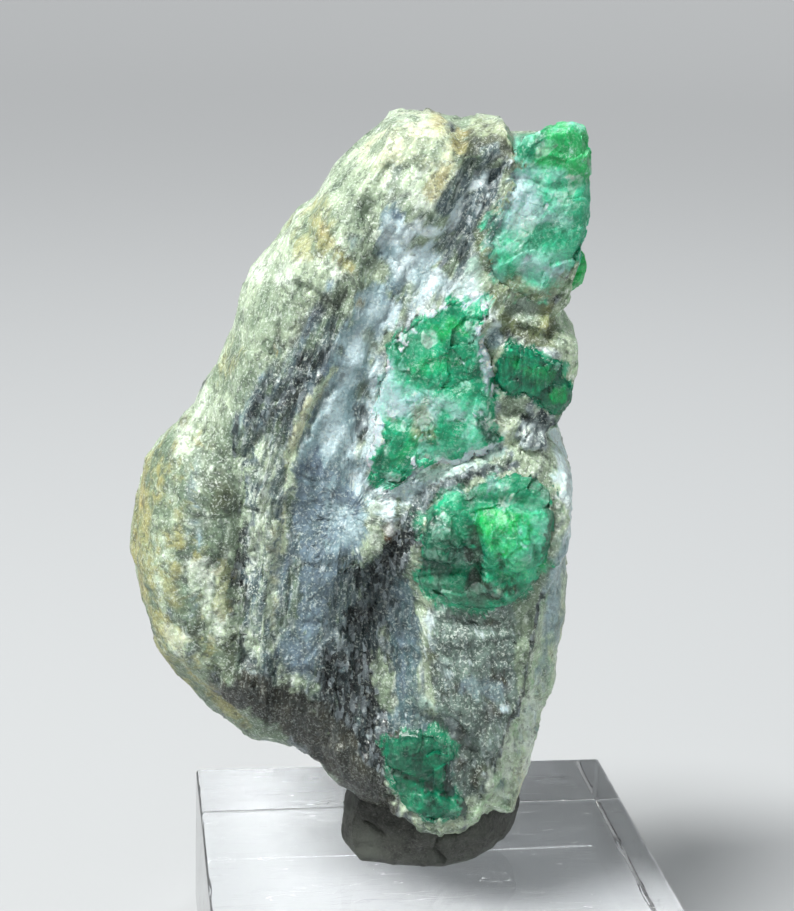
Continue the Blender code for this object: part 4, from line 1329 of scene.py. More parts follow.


# What lies on the stone's face, lowest first, in rows that read_patches reads.
# A painted highlight, white on the top-left of the left mass where the light falls
# A pale band on the shelf under the top crystal, partly its own pale crust and partly painted light that
# evens out the shadow there
# The band's lower part, painted darker, partly its own tone and partly painted shade
# The brown underside. Its schist is partly its own brown and partly painted shade of the face that looks
# down.
# The dark line along the ledge's foot is partly a black schist streak and partly a painted shadow under the
# step
# The pale crust along the upper-left flank is partly the crust's own pale tone and partly painted light from
# above
FACE_PATCHES = """
# Left mass and its rims.
PALE_CRUST 1.2 0.9: -18.5 39 1.4, -14.5 47 2.6, -10.5 53.5 3.2, -6.5 58.5 3
DARK_CRUST 1.6 1 0.85 0.05: -18.5 35 3.4, -18.6 29 3.4, -18 21 3
OLIVE_CRUST 1.6 1 0.8 0.1: -20.6 36 2.6, -21.4 28 3, -19.5 18.5 3
WHITE_CRUST 1.6 1 0.8 0.42: -19.5 38 2.6, -19.5 29 3.4, -18.5 20 3
CREAM_CRUST 1.2 1 0.8 0.5: -21.5 32 2, -20 22 2.4
DARK_CRUST 1 1 0.7: -17.6 36.6 1, -17 32.4 1.3, -17.8 29 0.8
WHITE_CRUST 0.8 0.9 0.75: -20.9 36.4 0.7, -19.6 38.6 0.6, -18 40.4 0.5
WHITE_CRUST 0.8 1.1 0.75: -18.4 27.6 0.7, -18 24.6 0.9, -17 22.8 0.6
OLIVE_CRUST 1 0.7 0.9: -20.5 15.6 1.3, -23 21 1.3, -24.3 27.5 1.5, -23.8 33 1.4, -22.5 36 0.9
OCHRE_STAIN 0.8 0.7 0.55: -24.6 25 0.7, -25 29.5 0.7, -24.2 34 0.5
CREAM_CRUST 0.7 0.9 0.8: -21.2 22.4 0.6, -20.4 20.4 0.7
WHITE_CRUST 1 1 0.8 0.15: -15.2 50 0.8, -12.6 53 0.9, -9.6 56.8 0.9
SAGE_CRUST 1 0.9 0.8: -16.6 41.6 1.4, -14.4 46 1.6, -12.4 49.6 1.5
SAGE_CRUST 1 0.8 0.75: -9.6 58.4 1.2, -7.6 56.4 1.2, -7.4 54 0.8
OLIVE_CRUST 1 0.9 0.7: -11.6 53 1, -9.6 55 1.2
OLIVE_CRUST 1 0.9 0.6: -18 41.4 0.8, -16.4 44.4 0.8
BROWN_SCHIST 1 1.1 0.6 -0.2: -12.8 45.6 0.8, -10.6 47.6 1, -8.4 49.4 0.8
WHITE_CRUST 0.6 1 0.85 -0.1: -12.6 50.4 0.8, -10 50.9 0.9, -8.6 51.4 0.6
OCHRE_STAIN 0.9 0.9 0.6 -0.1: -9.9 53.8 0.7, -8.6 52.6 0.6
DARK_CRUST 0.8 0.9 0.7 -0.1: -7.4 53.6 0.7, -6.4 51.6 0.9, -6.6 49.6 0.8
# The top.
WHITE_CRUST 1 1 0.7 -0.1: -10.4 58.6 0.7, -7 61.6 0.8, -3.6 63.2 0.9, -0.4 62.8 0.8
CREAM_CRUST 1 0.9: -5.2 59.5 1.6, -2.2 60.6 2, -1.2 57.6 1.4
SAGE_CRUST 1 0.9 0.8 0.05: -5.2 60.4 1.6, -2 61 1.2, -3.4 58.6 1.2
WHITE_CRUST 0.7 0.9 0.8: -4.6 57.4 0.7, -3 57.6 1, -1.8 56 0.8
GREY_SCHIST 0.5 0.5 0.6: -4.6 58.6 0.35, -4.4 55.4 0.45
SAGE_CRUST 0.6 0.8: 1 61.2 0.9, 2.6 60.9 1.3
CREAM_CRUST 0.6 0.9 0.8: 1.2 61.8 0.4, 3.2 61.6 0.5
BEIGE_SHELF 0.8 0.9 0.7: 1.4 61 0.7, 3.2 60.8 0.9
BROWN_SCHIST 0.6 0.9 0.75: 1.2 60.4 0.8, 3.4 60 0.9
GREY_SCHIST 0.6 0.7: 2 59.5 0.9, 0.4 57.6 1.1, -0.9 55.8 0.7
OCHRE_STAIN 0.8 0.5 0.6: 0.1 61.9 0.2, -0.1 60 0.3, -0.9 58.6 0.3, -1.9 57 0.4
BLUE_MICA 0.5 0.5: 3.3 59.3 0.5, 2.2 57.6 0.9, 1 56.1 0.9, 0.2 54.6 0.6
WHITE_QUARTZ 0.3 0.2 0.8: 2 58.6 0.14, 0.5 56.9 0.16, -0.4 55.2 0.14
# Blue-grey quartz under the top.
BLUE_QUARTZ 0.8 0.9: -4.8 55.3 0.8, -4.8 52.8 1.2, -4.2 50.6 1
PALE_QUARTZ 0.8 0.9 0.9: -5 54.6 0.6, -4.4 52 1.2, -2.4 50.8 1, -0.6 50.6 0.7
WHITE_QUARTZ 0.6 0.9 0.85: -4.6 54 0.8, -2.6 54.4 0.8, -1 54.2 0.6
PALE_QUARTZ 0.7 0.6: -2.6 51.9 1.3, -1.9 52.6 1
WHITE_QUARTZ 1.4 1 0.75 -0.2: -4.6 53 1.3, -3.4 51.2 1.2, -1.6 50.6 1
GREY_SCHIST 0.7 0.9 0.9: -0.6 53.2 0.8, 0.8 52.4 1.1, 0.4 51 0.8
BLUE_MICA 0.5 0.6 0.8: 0.6 53 0.4, 0.9 51.8 0.5
MINT_VEIN 0.6 0.5 0.9: 1.6 51.9 0.6, 1.6 50.6 0.8, 0.8 50 0.6
BEIGE_SHELF 0.6 0.6 0.7: 2.4 54 0.5, 2.6 51.5 0.6, 3.2 49.8 0.6
# The mica zone and the streaks on the left.
GREY_SCHIST 1 1 1 -0.5: -14.8 36.8 1.2, -13.2 41 1.9, -10.6 44.2 1.8, -8.6 47 1.1
BLACK_MICA 0.9 1.2 0.9 0: -14.2 38 1, -12.6 41.6 1.6, -10.4 44 1.3
BLUE_MICA 0.9 1.2 0.9 0.25: -13.8 38.6 1.2, -12 42.2 1.6, -9.6 45.6 1.1
GREY_SCHIST 1 0.9 0.9: -13.6 37 1.8, -13.4 28 2.2, -14 19.5 2
BLUE_MICA 0.9 0.9 0.9 -0.3: -15.2 36 0.8, -15.4 31 0.8, -15.3 26 0.8, -15.3 21 0.6
PALE_SCHIST 0.8 1 0.9 -0.45: -14 36.6 1, -13.8 31 1.4, -13.9 26 1.4, -14.2 20 1.3
WHITE_CRUST 0.4 0.9 0.8 0.3: -13.9 34 1, -13.8 27 1.1, -14.1 20 1
CREAM_CRUST 0.6 0.9 0.75 -0.1: -12.6 32.6 0.35, -12.8 28 0.4, -13.2 23 0.4
OCHRE_STAIN 0.6 0.9 0.4: -16.9 28 0.4, -17.2 24.6 0.5
# The blue quartz band.
BLUE_QUARTZ 0.8 0.9: -5.6 50.2 0.5, -6 48 1.2, -6.9 45.5 1.2, -8.3 42 1.6, -9.2 38 2.1, -9.2 34 2.9,
    -9.3 30 3, -9.5 26 2.6, -10.4 21 1.9
PALE_QUARTZ 1.2 0.9 0.9: -6.2 48.4 1, -7 44.8 1.2, -8 41 1.5, -8.2 37 1.6
DUSK_QUARTZ 1.4 0.9 0.9: -9.6 33 2.6, -9.6 29 3.2, -9.8 25 2.8, -10.4 20.5 2
BLUE_QUARTZ 1.4 0.9 0.9: -8 35 1.2, -7.6 32.6 1.6, -8.2 30.2 1
PALE_QUARTZ 1.4 0.9 0.5 0: -8.2 33.4 0.8, -7.4 31.8 0.8
WHITE_QUARTZ 0.3 0.3 0.5: -10.7 35.4 0.35
BLUE_QUARTZ 0.4 0.3 0.8: -10 24.4 0.7, -10.6 22.6 0.6
GREY_SCHIST 0.8 1 0.9 -0.2: -11.9 33 0.6, -11.6 27 0.8, -11.8 21.5 1
GREY_SCHIST 0.8 1 0.7 -0.1: -7.4 29 0.6, -8 24 0.9, -9.6 20.4 0.9
WHITE_QUARTZ 0.8 0.8 0.6 0.75: -9 36 2.2, -9.4 26 2.4
CREAM_CRUST 0.3 0.25 0.95: -8.6 43.7 0.22, -9.8 42.3 0.26, -11 40.2 0.28, -12 37.2 0.28, -12.3 34.6 0.22,
    -12.4 29 0.16
BLACK_MICA 0.3 0.25 0.5: -8.2 43.2 0.14, -10.2 40 0.22, -11.3 37.2 0.24, -11.8 33.6 0.14
WHITE_QUARTZ 1.2 0.9 0.7 -0.2: -5.6 45.2 0.4, -5 46.8 0.4, -3.8 48.4 0.5, -1.6 49.6 0.5, 0.8 50.4 0.5
BEIGE_SHELF 0.5 0.5 0.5: -6.2 46.4 0.35, -6 44.2 0.4
PALE_QUARTZ 1.6 0.9 0.8: -5.4 44.4 0.8, -6 41.4 0.9, -6 38.6 0.7, -6.4 36 0.8
WHITE_QUARTZ 0.8 0.9 0.6 0: -5.4 44.4 0.5, -6 41.4 0.6, -6 38.6 0.5, -6.4 36 0.6
BLACK_MICA 0.4 0.4 0.8: -6.9 40.6 0.35, -6.6 38 0.4
# The black mica hollow and what lies to its right.
GREY_SCHIST 0.9 0.7: -3.2 29.6 0.9, -6 27 1.6, -7.6 22 1.9, -7.4 16.6 2.2, -5 12 1.6
BLACK_MICA 0.8 1: -2.6 32.4 0.5, -3.4 29.6 1.1, -5 26.6 1.6, -6.4 23 1.6, -7.2 19.4 2.1, -6.8 16 2.3,
    -5 12.4 1.7
GREY_SCHIST 0.6 1 0.7 0.35: -5 27 1.6, -6.8 21 2, -6 13.4 1.4
CREAM_CRUST 0.5 1 0.7 0.85: -5.6 25.6 1.6, -7.4 20 2, -6 14 1.4
BLUE_QUARTZ 0.3 0.6 0.7: -7.6 19.6 0.35
TEAL_QUARTZ 0.6 0.9: -2.8 26.6 0.9, -2.7 22.6 1.5, -2.6 18.8 1.2, -1.8 15 1.4
DUSK_QUARTZ 0.6 0.9 0.8 0: -2.8 25.4 0.7, -2.6 22.6 1, -2.4 17.6 0.9
BLACK_MICA 0.6 0.9 0.8 -0.1: -3.9 24 0.6, -3.9 19 0.7
GNEISS 0.9 0.9: 2.6 24 3.4, 2.8 18.5 3.5, 2.6 13 2.4, 2.4 9.5 1.4
WHITE_QUARTZ 0.5 0.7 0.8: -1.1 24.8 0.2, -1.3 22.6 0.3, -1.2 20.8 0.2
GNEISS 1.2 1 0.7: -1.6 19.6 0.5, -1.4 16 0.6
BROWN_SCHIST 0.8 0.9 0.6 0: 5 24.4 0.6, 4.8 22 0.6
DARK_GNEISS 1 0.9 0.9 0.15: 1 25 2.4, 2.4 19 3, 3 14 2.2
DARK_GNEISS 1 0.9 0.9: 2.6 15 1.6, 3.2 11 1.4
WHITE_QUARTZ 0.6 0.8 0.6 0.6: 1.6 22 2.6, 3.2 15 2.2
BLUE_QUARTZ 0.8 0.9 0.6: 2.6 19 0.6, 4.2 18.4 0.6
MINT_VEIN 0.5 0.4 0.8: -1 17.1 0.7
SPECKS 0.3 0.1 0.9: -0.9 17.1 0.25
WHITE_QUARTZ 0.3 0.3 0.9: 5.2 17 0.3
# The ledge under the crystals.
GREY_SCHIST 0.6 0.8 0.8: -2.4 33.4 0.6, -0.6 35 0.5, 2 36.2 0.4, 4.6 37.2 0.4
BLUE_QUARTZ 0.6 0.9 0.8: 3.4 37.8 0.4, 5.4 37.8 0.5, 7.4 38 0.5
WHITE_QUARTZ 0.6 0.8 0.9: -6.4 35.2 0.8, -5.2 34 1.1, -4.4 32.6 0.6, -4.2 31.8 0.3
WHITE_QUARTZ 0.6 0.9 0.85: -4.6 34.6 1, -2.4 35 0.9, -0.4 35.9 0.5, 2 36.7 0.3
MINT_VEIN 0.4 0.8 0.7: -3 35.2 0.5, -1 36 0.5, 2 36.9 0.3, 4.2 37.6 0.3
BEIGE_SHELF 0.5 0.9 0.6 -0.1: -5.2 32.8 0.7, -4.2 32.2 0.6
RUST_STAIN 0.9 0.5 0.3: -4.4 31.6 0.3, -4.3 31.1 0.2
BLACK_MICA 0.4 0.6 0.85: -2.9 32 0.3, -1.2 34.1 0.3, 1.6 35.7 0.25, 4.6 36.8 0.22, 7.2 37.1 0.2
# The knob and the shelf between the right-hand crystals.
PEPPER 0.6 0.5: 5.6 40.4 2.2, 7.4 39.4 1.8
CREAM_CRUST 0.5 0.5 0.7: 4 39.9 0.5, 4.6 38.5 0.6
PALE_CRUST 0.5 0.9 0.8: 4.4 41.6 0.5, 5.4 42 0.5, 4.2 39.6 0.6
BLACK_MICA 0.5 0.9 0.6 0: 6.2 41 0.4, 7.3 40 0.4, 6.6 38.9 0.3
RIM_PALE 0.6 0.9 0.8: 8.4 41 0.5, 8.5 38.8 0.5
BEIGE_SHELF 1.4 0.9: 5 49.2 2.1, 6.2 47 2.1
PALE_QUARTZ 3 0.9 0.4: 5.4 49.6 0.8, 6.2 48.4 0.8
OCHRE_STAIN 1.6 0.7 0.45: 7.2 48.6 0.5, 7 47.4 0.5
BROWN_SCHIST 1.6 0.9 0.5: 4.2 47 0.3, 5.4 46.4 0.4, 7 46 0.5, 7.8 47.2 0.3
PEPPER 0.6 0.9 0.9: 4 45.9 0.6, 5.8 45.2 0.6, 7.4 45.2 0.5
PALE_QUARTZ 0.5 0.4 0.7: 3 46.8 0.5, 3.4 45.6 0.5
RIM_PALE 0.5 0.4: 8.6 47.8 0.7, 9.3 46 0.9, 9.2 43.4 0.7
MINT_VEIN 0.5 0.3 0.9: 8.6 39.8 0.5, 8.6 37.4 0.4
PALE_CRUST 2 0.6 0.6: 4.4 50.6 0.5, 6.4 50 0.6, 7.8 50.2 0.5
# The rim down the right side.
RIM_PALE 0.6 0.6: 8.7 38.6 0.9, 9.2 36 1.1, 9.5 33.6 1.2, 9.4 31 1.1
RIM_GREY 1.6 0.9: 9.3 31 1.1, 9.3 27 1.3, 9 22 1.4
WHITE_QUARTZ 0.8 0.9 0.85: 8.6 38.4 0.7, 9.2 36 0.9, 9.6 33.4 0.9, 9.5 31 0.7
PALE_QUARTZ 0.8 0.6 0.7: 9 29 0.5, 8.8 25 0.6, 8.6 21 0.6
RIM_PALE 2 0.9: 8.8 21 1.6, 8 15.5 1.8, 6.4 10 1.8, 4.8 6.4 1.7
RIM_GREY 1.6 1.1 0.85 0: 9.2 24 1.2, 8.6 19 1.3, 7.2 13 1.2, 5.8 8 1
DARK_GNEISS 0.8 1 0.7 0.3: 8.6 20 1.4, 6.6 11 1.4
PALE_QUARTZ 0.8 1 0.7 0.2: 8.4 22 0.7, 7.6 16 0.8, 6 10 0.7
CREAM_CRUST 0.8 0.8 0.8 -0.2: 10 31 0.2, 9.8 24 0.4, 8.9 16 0.5, 6.6 7 0.6
BLACK_MICA 0.3 0.2 0.9: 7.7 26.2 0.16, 7.1 21.9 0.22, 6.5 17.9 0.28, 5 12.4 0.26, 3.4 8 0.2
RIM_PALE 0.3 0.2 0.9: 8.3 26 0.15, 7.7 21.9 0.25, 7.1 17.8 0.28, 5.6 12 0.25, 4 7.6 0.2
WHITE_CRUST 1.2 1 0.8 0: 8.4 20 1, 7.6 15.6 1.2, 6 10 1.2, 4.6 6.4 1
# The brown underside.
BLACK_MICA 0.9 1.1 0.8 -0.2: -15 20 0.7, -12.4 18.8 0.9, -9.8 17 1, -7.8 13.4 1.2, -5.4 9.4 1
BROWN_SCHIST 1.2 1.1: -16.8 16.4 0.9, -15 17.6 1.9, -12 16 2.4, -9.2 12.4 2.3, -5.8 8.4 2, -3.2 5.4 1.6
OLIVE_CRUST 0.8 0.9 0.8: -20.6 17.6 0.8, -18 15.4 0.8, -15.6 13.9 0.6
CREAM_CRUST 0.4 0.3 0.8: -1.6 6.4 0.35, 0.6 6 0.35, 2.4 6.4 0.3
# Small stains.
OCHRE_STAIN 0.9 0.6 0.7: -8.3 52 0.4, -7.6 51.4 0.3
RUST_STAIN 0.5 0.4 0.7: -8.1 52.1 0.12
RUST_STAIN 0.5 0.4 0.7: -13.3 45.2 0.12, -13 44.6 0.1
RUST_STAIN 0.5 0.4 0.6: -6.9 48.8 0.12
OCHRE_STAIN 0.9 0.6 0.6: -1.4 61.9 0.5
"""


# ---------------------------------------------------------------------------- the crystals


@dataclass(frozen=True)
class Lobe:
    """A flat-topped pyramid that a crystal's front is made of."""

    centre: Point
    top: float
    flat: float
    slope: float
    sides: int
    turn: float

    def height(self, u: Array, w: Array) -> Array:
        """Return the pyramid's height: level out to the flat radius, then falling by its slope."""
        reach = np.zeros(u.shape)
        for side in range(self.sides):
            angle = math.radians(self.turn) + 2.0 * math.pi * side / self.sides
            ahead = (u - self.centre[0]) * math.cos(angle) + (w - self.centre[1]) * math.sin(angle)
            reach = np.maximum(reach, ahead)
        return self.top - self.slope * np.maximum(0.0, reach - self.flat)


@dataclass(frozen=True)
class Emerald:
    """One emerald crystal: its outline, depth, lobes and painted zones.

    striae is how deep fine upright grooves run, and cracks holds grooves of (line, depth, half width).
    flare is how far the crystal reaches under the stone's ragged lip, sunk how far that lip lies
    below the crystal's face, and halo the mineral that gathers on both sides of its outline. The
    painted border lies reach beyond the outline and is moved by noise of size ragged. splinters is
    how strongly pale fragments show inside.
    """

    name: str
    slot: str
    outline: tuple[Point, ...]
    centre: Point
    root: float
    lobes: tuple[Lobe, ...]
    grid: tuple[int, int]
    base: Rock
    patches: tuple[Patch, ...]
    seed: int
    striae: float = 0.0
    cracks: tuple = ()
    bedding: float = 1.0
    halo: Rock = Rock.WHITE_QUARTZ
    halo_width: float = 0.5
    halo_strength: float = 0.8
    flare: float = 0.4
    sunk: float = 0.10
    reach: float = 0.0
    ragged: float = 1.15
    splinters: float = 0.7

    def shore(self, ground: Ground) -> Array:
        """Return each place's distance inside the crystal's ragged border.

        The noise knows nothing of height, so that the stone and the crystal find the same border.
        """
        flat = np.stack([ground.u, 0.0 * ground.u, ground.w], axis=1)
        wander = self.ragged * fractal(flat, 1.7, 571, 5, 0.72)
        return to_outline(ground.u, ground.w, self.outline) + self.reach + wander

    def halo_cover(self, ground: Ground, away: Array) -> Array:
        """Return how far the halo covers each place, whose distance from the border is given."""
        edge = self.halo_width + 0.6 * ground.wander - away
        return self.halo_strength * smooth(edge, -0.3, 0.3) * smooth(ground.blotches(self.halo), -0.3, 0.2)

    def fragments(self, ground: Ground) -> Array:
        """Return the cover of the pale fragments inside: whole cells, in clumps, with sharp borders."""
        cells = cell_field(roughened(ground.points, ((0.9, 0.3, 0.3, 611),)), 1.15, 613 + self.seed)
        clumps = smooth(ground.blotches(Rock.FROSTED), -0.1, 0.25)
        return self.splinters * clumps * smooth(cells.tag, 0.30, 0.36) * smooth(cells.border, 0.0, 0.10)

    def surface(self, fractions: Array, places: Array) -> Array:
        """Return the crystal's points: its lobes in front, a rim, and sides that narrow to its root."""
        centre = np.array(self.centre)
        edge = along_outline(self.outline, -fractions)
        within = to_outline(*edge.T, STONE_OUTLINE)
        arm = edge - centre
        radius = np.hypot(*arm.T)
        arm *= (1.0 + self.flare * smooth(within, 0.2, 1.2) / radius)[:, None]
        radius = np.hypot(*arm.T)
        stops, shares, lifts = zip(*CRYSTAL_SECTION)
        lift = np.interp(places, stops, lifts)
        face_end = stops[1]
        to_edge = (radius - CRYSTAL_EDGE) / radius * np.minimum(places / face_end, 1.0)
        rim = np.clip((places - face_end) / (stops[2] - face_end), 0.0, 1.0)
        share = np.where(places < stops[2], to_edge + (1.0 - to_edge) * rim, np.interp(places, stops, shares))
        u, w = (centre + arm * share[:, None]).T
        top = np.max([lobe.height(u, w) for lobe in self.lobes], axis=0)
        height = self.root + (top - self.root) * lift
        return roughened(np.stack([u, -height, w], axis=1), CRYSTAL_LUMPS)

    def build(self, seat: float) -> Object:
        """Lay out the surface, paint it, break it up and make the mesh."""
        around, count = self.grid
        points = lay_out(self.surface, around, pole_spacing(CRYSTAL_SECTION[3][0], count, 0.82))
        ground = Ground(points, self.seed)
        within = smooth(to_outline(ground.u, ground.w, STONE_OUTLINE), 0.2, 1.6)
        shore = self.shore(ground)
        layers = [(patch.rock, patch.cover(ground)) for patch in self.patches]
        layers.append((Rock.FROSTED, self.fragments(ground)))
        layers.append((self.halo, self.halo_cover(ground, shore + 0.3) * within))
        layers.append((self.halo, smooth(-shore, -0.06, 0.08) * within))
        coat = paint(ground, self.base, layers)
        upright = value_noise(points * np.array([1.0, 1.0, 0.06]), 0.35, 601 + self.seed)
        relief = coat.relief + self.striae * np.abs(upright)
        for line, depth, half_width in self.cracks:
            relief -= depth * np.exp(-np.square(follow_line(ground.u, ground.w, line)[0] / half_width))
        return closed_mesh(self.name + "_crystal", points, around, relief, seat,
                           {"tint": coat.tint, "finish": coat.finish}, 60.0)


TOP_PATCHES = """
GREEN 3 0.9 0.8: 9.4 58.6 1.2, 9.2 55 1.4, 8.8 52.8 1
GREEN 2.5 0.9 0.7: 7.8 58 0.9, 8.4 55.6 0.8
FROSTED 0.8 0.3 0.7: 5.8 62 0.1, 7.4 62.5 0.1, 9 62.4 0.1
SPECKS 0.3 0.3 0.8: 7.3 59.9 0.1
BLUE_MILK 2.5 0.9 0.95: 4.6 58 1.2, 5 55.8 1.7
PALE_QUARTZ 2.4 0.9 0.75: 4.6 57.6 0.9, 5.6 56.6 1.2, 7.4 55.8 0.7
WHITE_QUARTZ 0.6 0.5 0.7: 7.3 56.9 0.2
BLUE_MILK 1.6 0.8 0.7: 7.6 56.2 0.4, 8 54.8 0.4
GREEN 1.6 0.9 0.85: 5 54 0.7, 7.6 54.2 0.8
DEEP 1.2 0.9 0.7: 4.4 53 0.5, 5.8 53.4 0.4
SPECKS 0.6 0.9 0.8: 5 53 0.2, 5.6 52.7 0.16
GREEN 1.2 0.9 0.85: 3.9 52.6 0.5, 4.4 51.2 0.7
PALE_QUARTZ 2 0.9 0.75: 5.8 51.9 0.8, 8 51.7 0.8
BLUE_MICA 0.8 0.8 0.8: 4.3 61.2 0.4, 4.2 59.6 0.3, 3.4 57.2 0.3, 2.8 54.8 0.3
GREY_SCHIST 0.9 0.9 0.7: 2.6 53.6 0.4, 2.9 51.6 0.4
BEIGE_SHELF 2.5 0.9 0.95: 4.2 50.2 0.8, 6.6 49.9 0.9, 8.2 50.4 0.6
VIVID 1.4 0.5 0.9: 6.5 60.9 1.5, 8.2 60.7 1.8, 9.6 60.2 2
DEEP 1.2 0.4: 5 60.4 0.7, 5.9 61.3 0.7
BLUE_MICA 0.8 0.3 0.9: 4.2 61 0.3, 4.6 61.8 0.4
FROSTED 0.4 0.4 0.8: 9.9 59 0.1, 8.4 58.7 0.16, 6.6 58.4 0.16
"""

EDGE_PATCHES = """
DEEP 0.4 0.3 0.8: 9.3 50.2 0.4
"""

CENTRE_PATCHES = """
MILKY 1.6 0.9 0.9: 1.8 49.8 0.9, 1.2 48.6 0.5
DEEP 0.8 0.9 0.7: 2.2 48.4 0.5, 1.8 47.4 0.5
MURKY 2 0.9 0.6: -2.4 46.4 1.1, -3.6 44.6 0.9
BRIGHT 2 0.9 0.7: -1.4 46.8 1, 0.2 47.4 1
VIVID 1.6 0.9 0.45: -2.8 43.9 0.7, -1.2 44.4 0.8, 0.4 44.6 0.7
DEEP 1 0.9 0.7: -4 44 0.4, -2 43.2 0.4, 0.2 43.6 0.6, 1.8 44.2 0.5
WHITE_QUARTZ 0.4 0.6 0.9: 2.5 45.4 0.2, 2.7 43.6 0.3, 2.9 42.2 0.25
BLUE_MILK 2.5 0.9: -4.8 43.8 0.9, -4.4 41.6 1.6, -2.4 41.2 1.2
PALE_QUARTZ 1.6 0.9 0.75: -5 43.2 0.6, -4.8 41.4 0.9, -3.4 40.8 0.5
MILKY 2.5 1 0.8: -0.8 41.4 1, 1.6 41.2 1
PALE_QUARTZ 1.6 1 0.55: -1.4 40.4 0.7, -0.2 41.6 0.6, 0.8 40.4 0.5
WHITE_QUARTZ 0.5 0.7 0.8: -5 40.5 0.3, -4.2 40.2 0.25
BEIGE_SHELF 1.4 0.9 0.75: -2.3 40.6 0.6, -1.7 39 0.7
CREAM_CRUST 0.5 1 0.8 0.2: -2.6 39.4 0.5, -1.2 38.2 0.4
GREEN 1.2 0.9 0.8: 0.2 42.6 0.8, 1.8 42.8 0.7
WHITE_QUARTZ 0.4 0.4 0.85: 0.6 44.9 0.26, 0.9 44.6 0.2
MILKY 1 0.9 0.9: 1.2 39.2 0.7, 2.2 38.8 0.5
DARK 0.9 0.7 0.85: 2.3 40.9 0.3, 2.8 39.8 0.4, 3.4 38.6 0.4
GREEN 1.6 0.9: -4.8 38.6 1.1, -3.9 36.8 1.3
VIVID 1.6 0.9 0.45: -2.8 38.1 0.6, -3.8 37 0.6
MILKY 1.4 0.9 0.8: -2.2 37.2 0.5, -3 36.2 0.5
DEEP 1.2 0.9 0.7: -5.2 37.6 0.5, -4.6 36 0.5
FROSTED 0.5 0.9 0.8: -1.8 38.3 0.3, -1.3 37.3 0.3
MILKY 1.2 0.9 0.75: -0.4 37.6 0.7, 1 37.8 0.6
FROSTED 0.5 0.9 0.7 0.95: -1 46 4, -2 38 4
BLUE_MILK 2.5 0.9 0.85: -5.6 43.4 0.6, -6 40.4 0.5
"""

RIGHT_PATCHES = """
VIVID 1.6 0.9 0.5: 4.8 44.4 0.4, 7.4 43.8 0.4
DARK 1.4 0.9 0.45: 4.5 43.4 0.6, 6.6 43 0.6, 8.6 41.2 0.4
VIVID 0.8 0.5 0.6: 8.2 42.2 0.4
FROSTED 0.3 0.4 0.8: 7.9 44.4 0.14
"""

# A painted highlight, a small white spot on the dark left lobe
LOWER_PATCHES = """
BRIGHT 2.5 0.9 0.95: 3.4 32.8 1.4, 5.6 32.2 2.2, 5.8 29.8 1.9
MILKY 2.5 0.9 0.8: 6.8 33.8 0.7, 7.2 32 0.8, 6.2 30.4 0.5
VIVID 2 0.9 0.35: 4.4 31.8 0.6, 4.8 30 0.7, 5.8 29.2 0.6
DEEP 0.8 0.6 0.7: 6.8 31.4 0.16, 7 29.8 0.2
MURKY 1.4 0.9 0.95: 1.2 34 0.5, 4 35 0.7, 6.2 35.4 0.7, 7.6 34.9 0.5
BLUE_QUARTZ 1.4 0.9 0.6 0: 0.8 34.2 0.4, 3.6 35.4 0.4
FROSTED 0.5 0.9 0.7: 5 35.9 0.2, 4.2 35.6 0.16
FROSTED 0.5 0.9 0.7: 5.1 34.5 0.2, 4.4 34.3 0.16
DARK 1.6 0.9 0.95: -1.4 32 1.3, -0.6 30.2 2.1
DEEP 2 0.9 0.4: -0.6 31.2 0.5, 0.2 30 0.5
MURKY 1.6 0.9 0.45: 0.6 32.8 0.7, 1 31.4 0.5
BROWN_FILM 1.2 0.9 0.8: 1.8 32 0.2, 2.2 30.2 0.4, 2.6 28.8 0.4
BROWN_FILM 0.5 0.5 0.7: 4.1 30 0.1, 4.3 28.9 0.14
MURKY 1.2 0.9 0.9: -1 27.6 0.8, 1.2 27.4 1
DARK 0.9 0.9 0.7: -1.4 28.6 0.4, 0.2 28.6 0.4
BROWN_FILM 1.2 0.9 0.9: 2.4 26.6 0.8, 4.2 26.8 0.8, 5.4 27.4 0.6
MURKY 1.6 0.9 0.8: -1.4 27.2 0.9, 0.8 26.4 0.9, 3 25.6 0.6
GREEN 0.9 0.7 0.7: 6.2 27.6 0.5
CREAM_CRUST 0.3 0.9 0.8 0: -1.6 32.6 0.3, -0.8 33.7 0.3
FROSTED 0.4 0.6 0.8: -0.2 33.1 0.24, 0.3 32.5 0.16
"""

FOOT_PATCHES = """
MURKY 1.2 0.9 0.5: -2.6 13.6 0.5, -0.6 13.6 0.5
DARK 1.6 1 0.85: -2.6 12 0.9, -0.4 11.4 0.9, 0 8.6 1
GREEN 1.2 0.9 0.2: -1.8 9 0.6, 0.2 8 0.5
BLUE_MICA 0.6 0.5 0.8: 1 11.4 0.5, 1.2 9.4 0.5
DARK_GNEISS 0.5 0.6 0.7: -3.3 10.9 0.3, -1.4 10.2 0.3, 1 9 0.3
"""


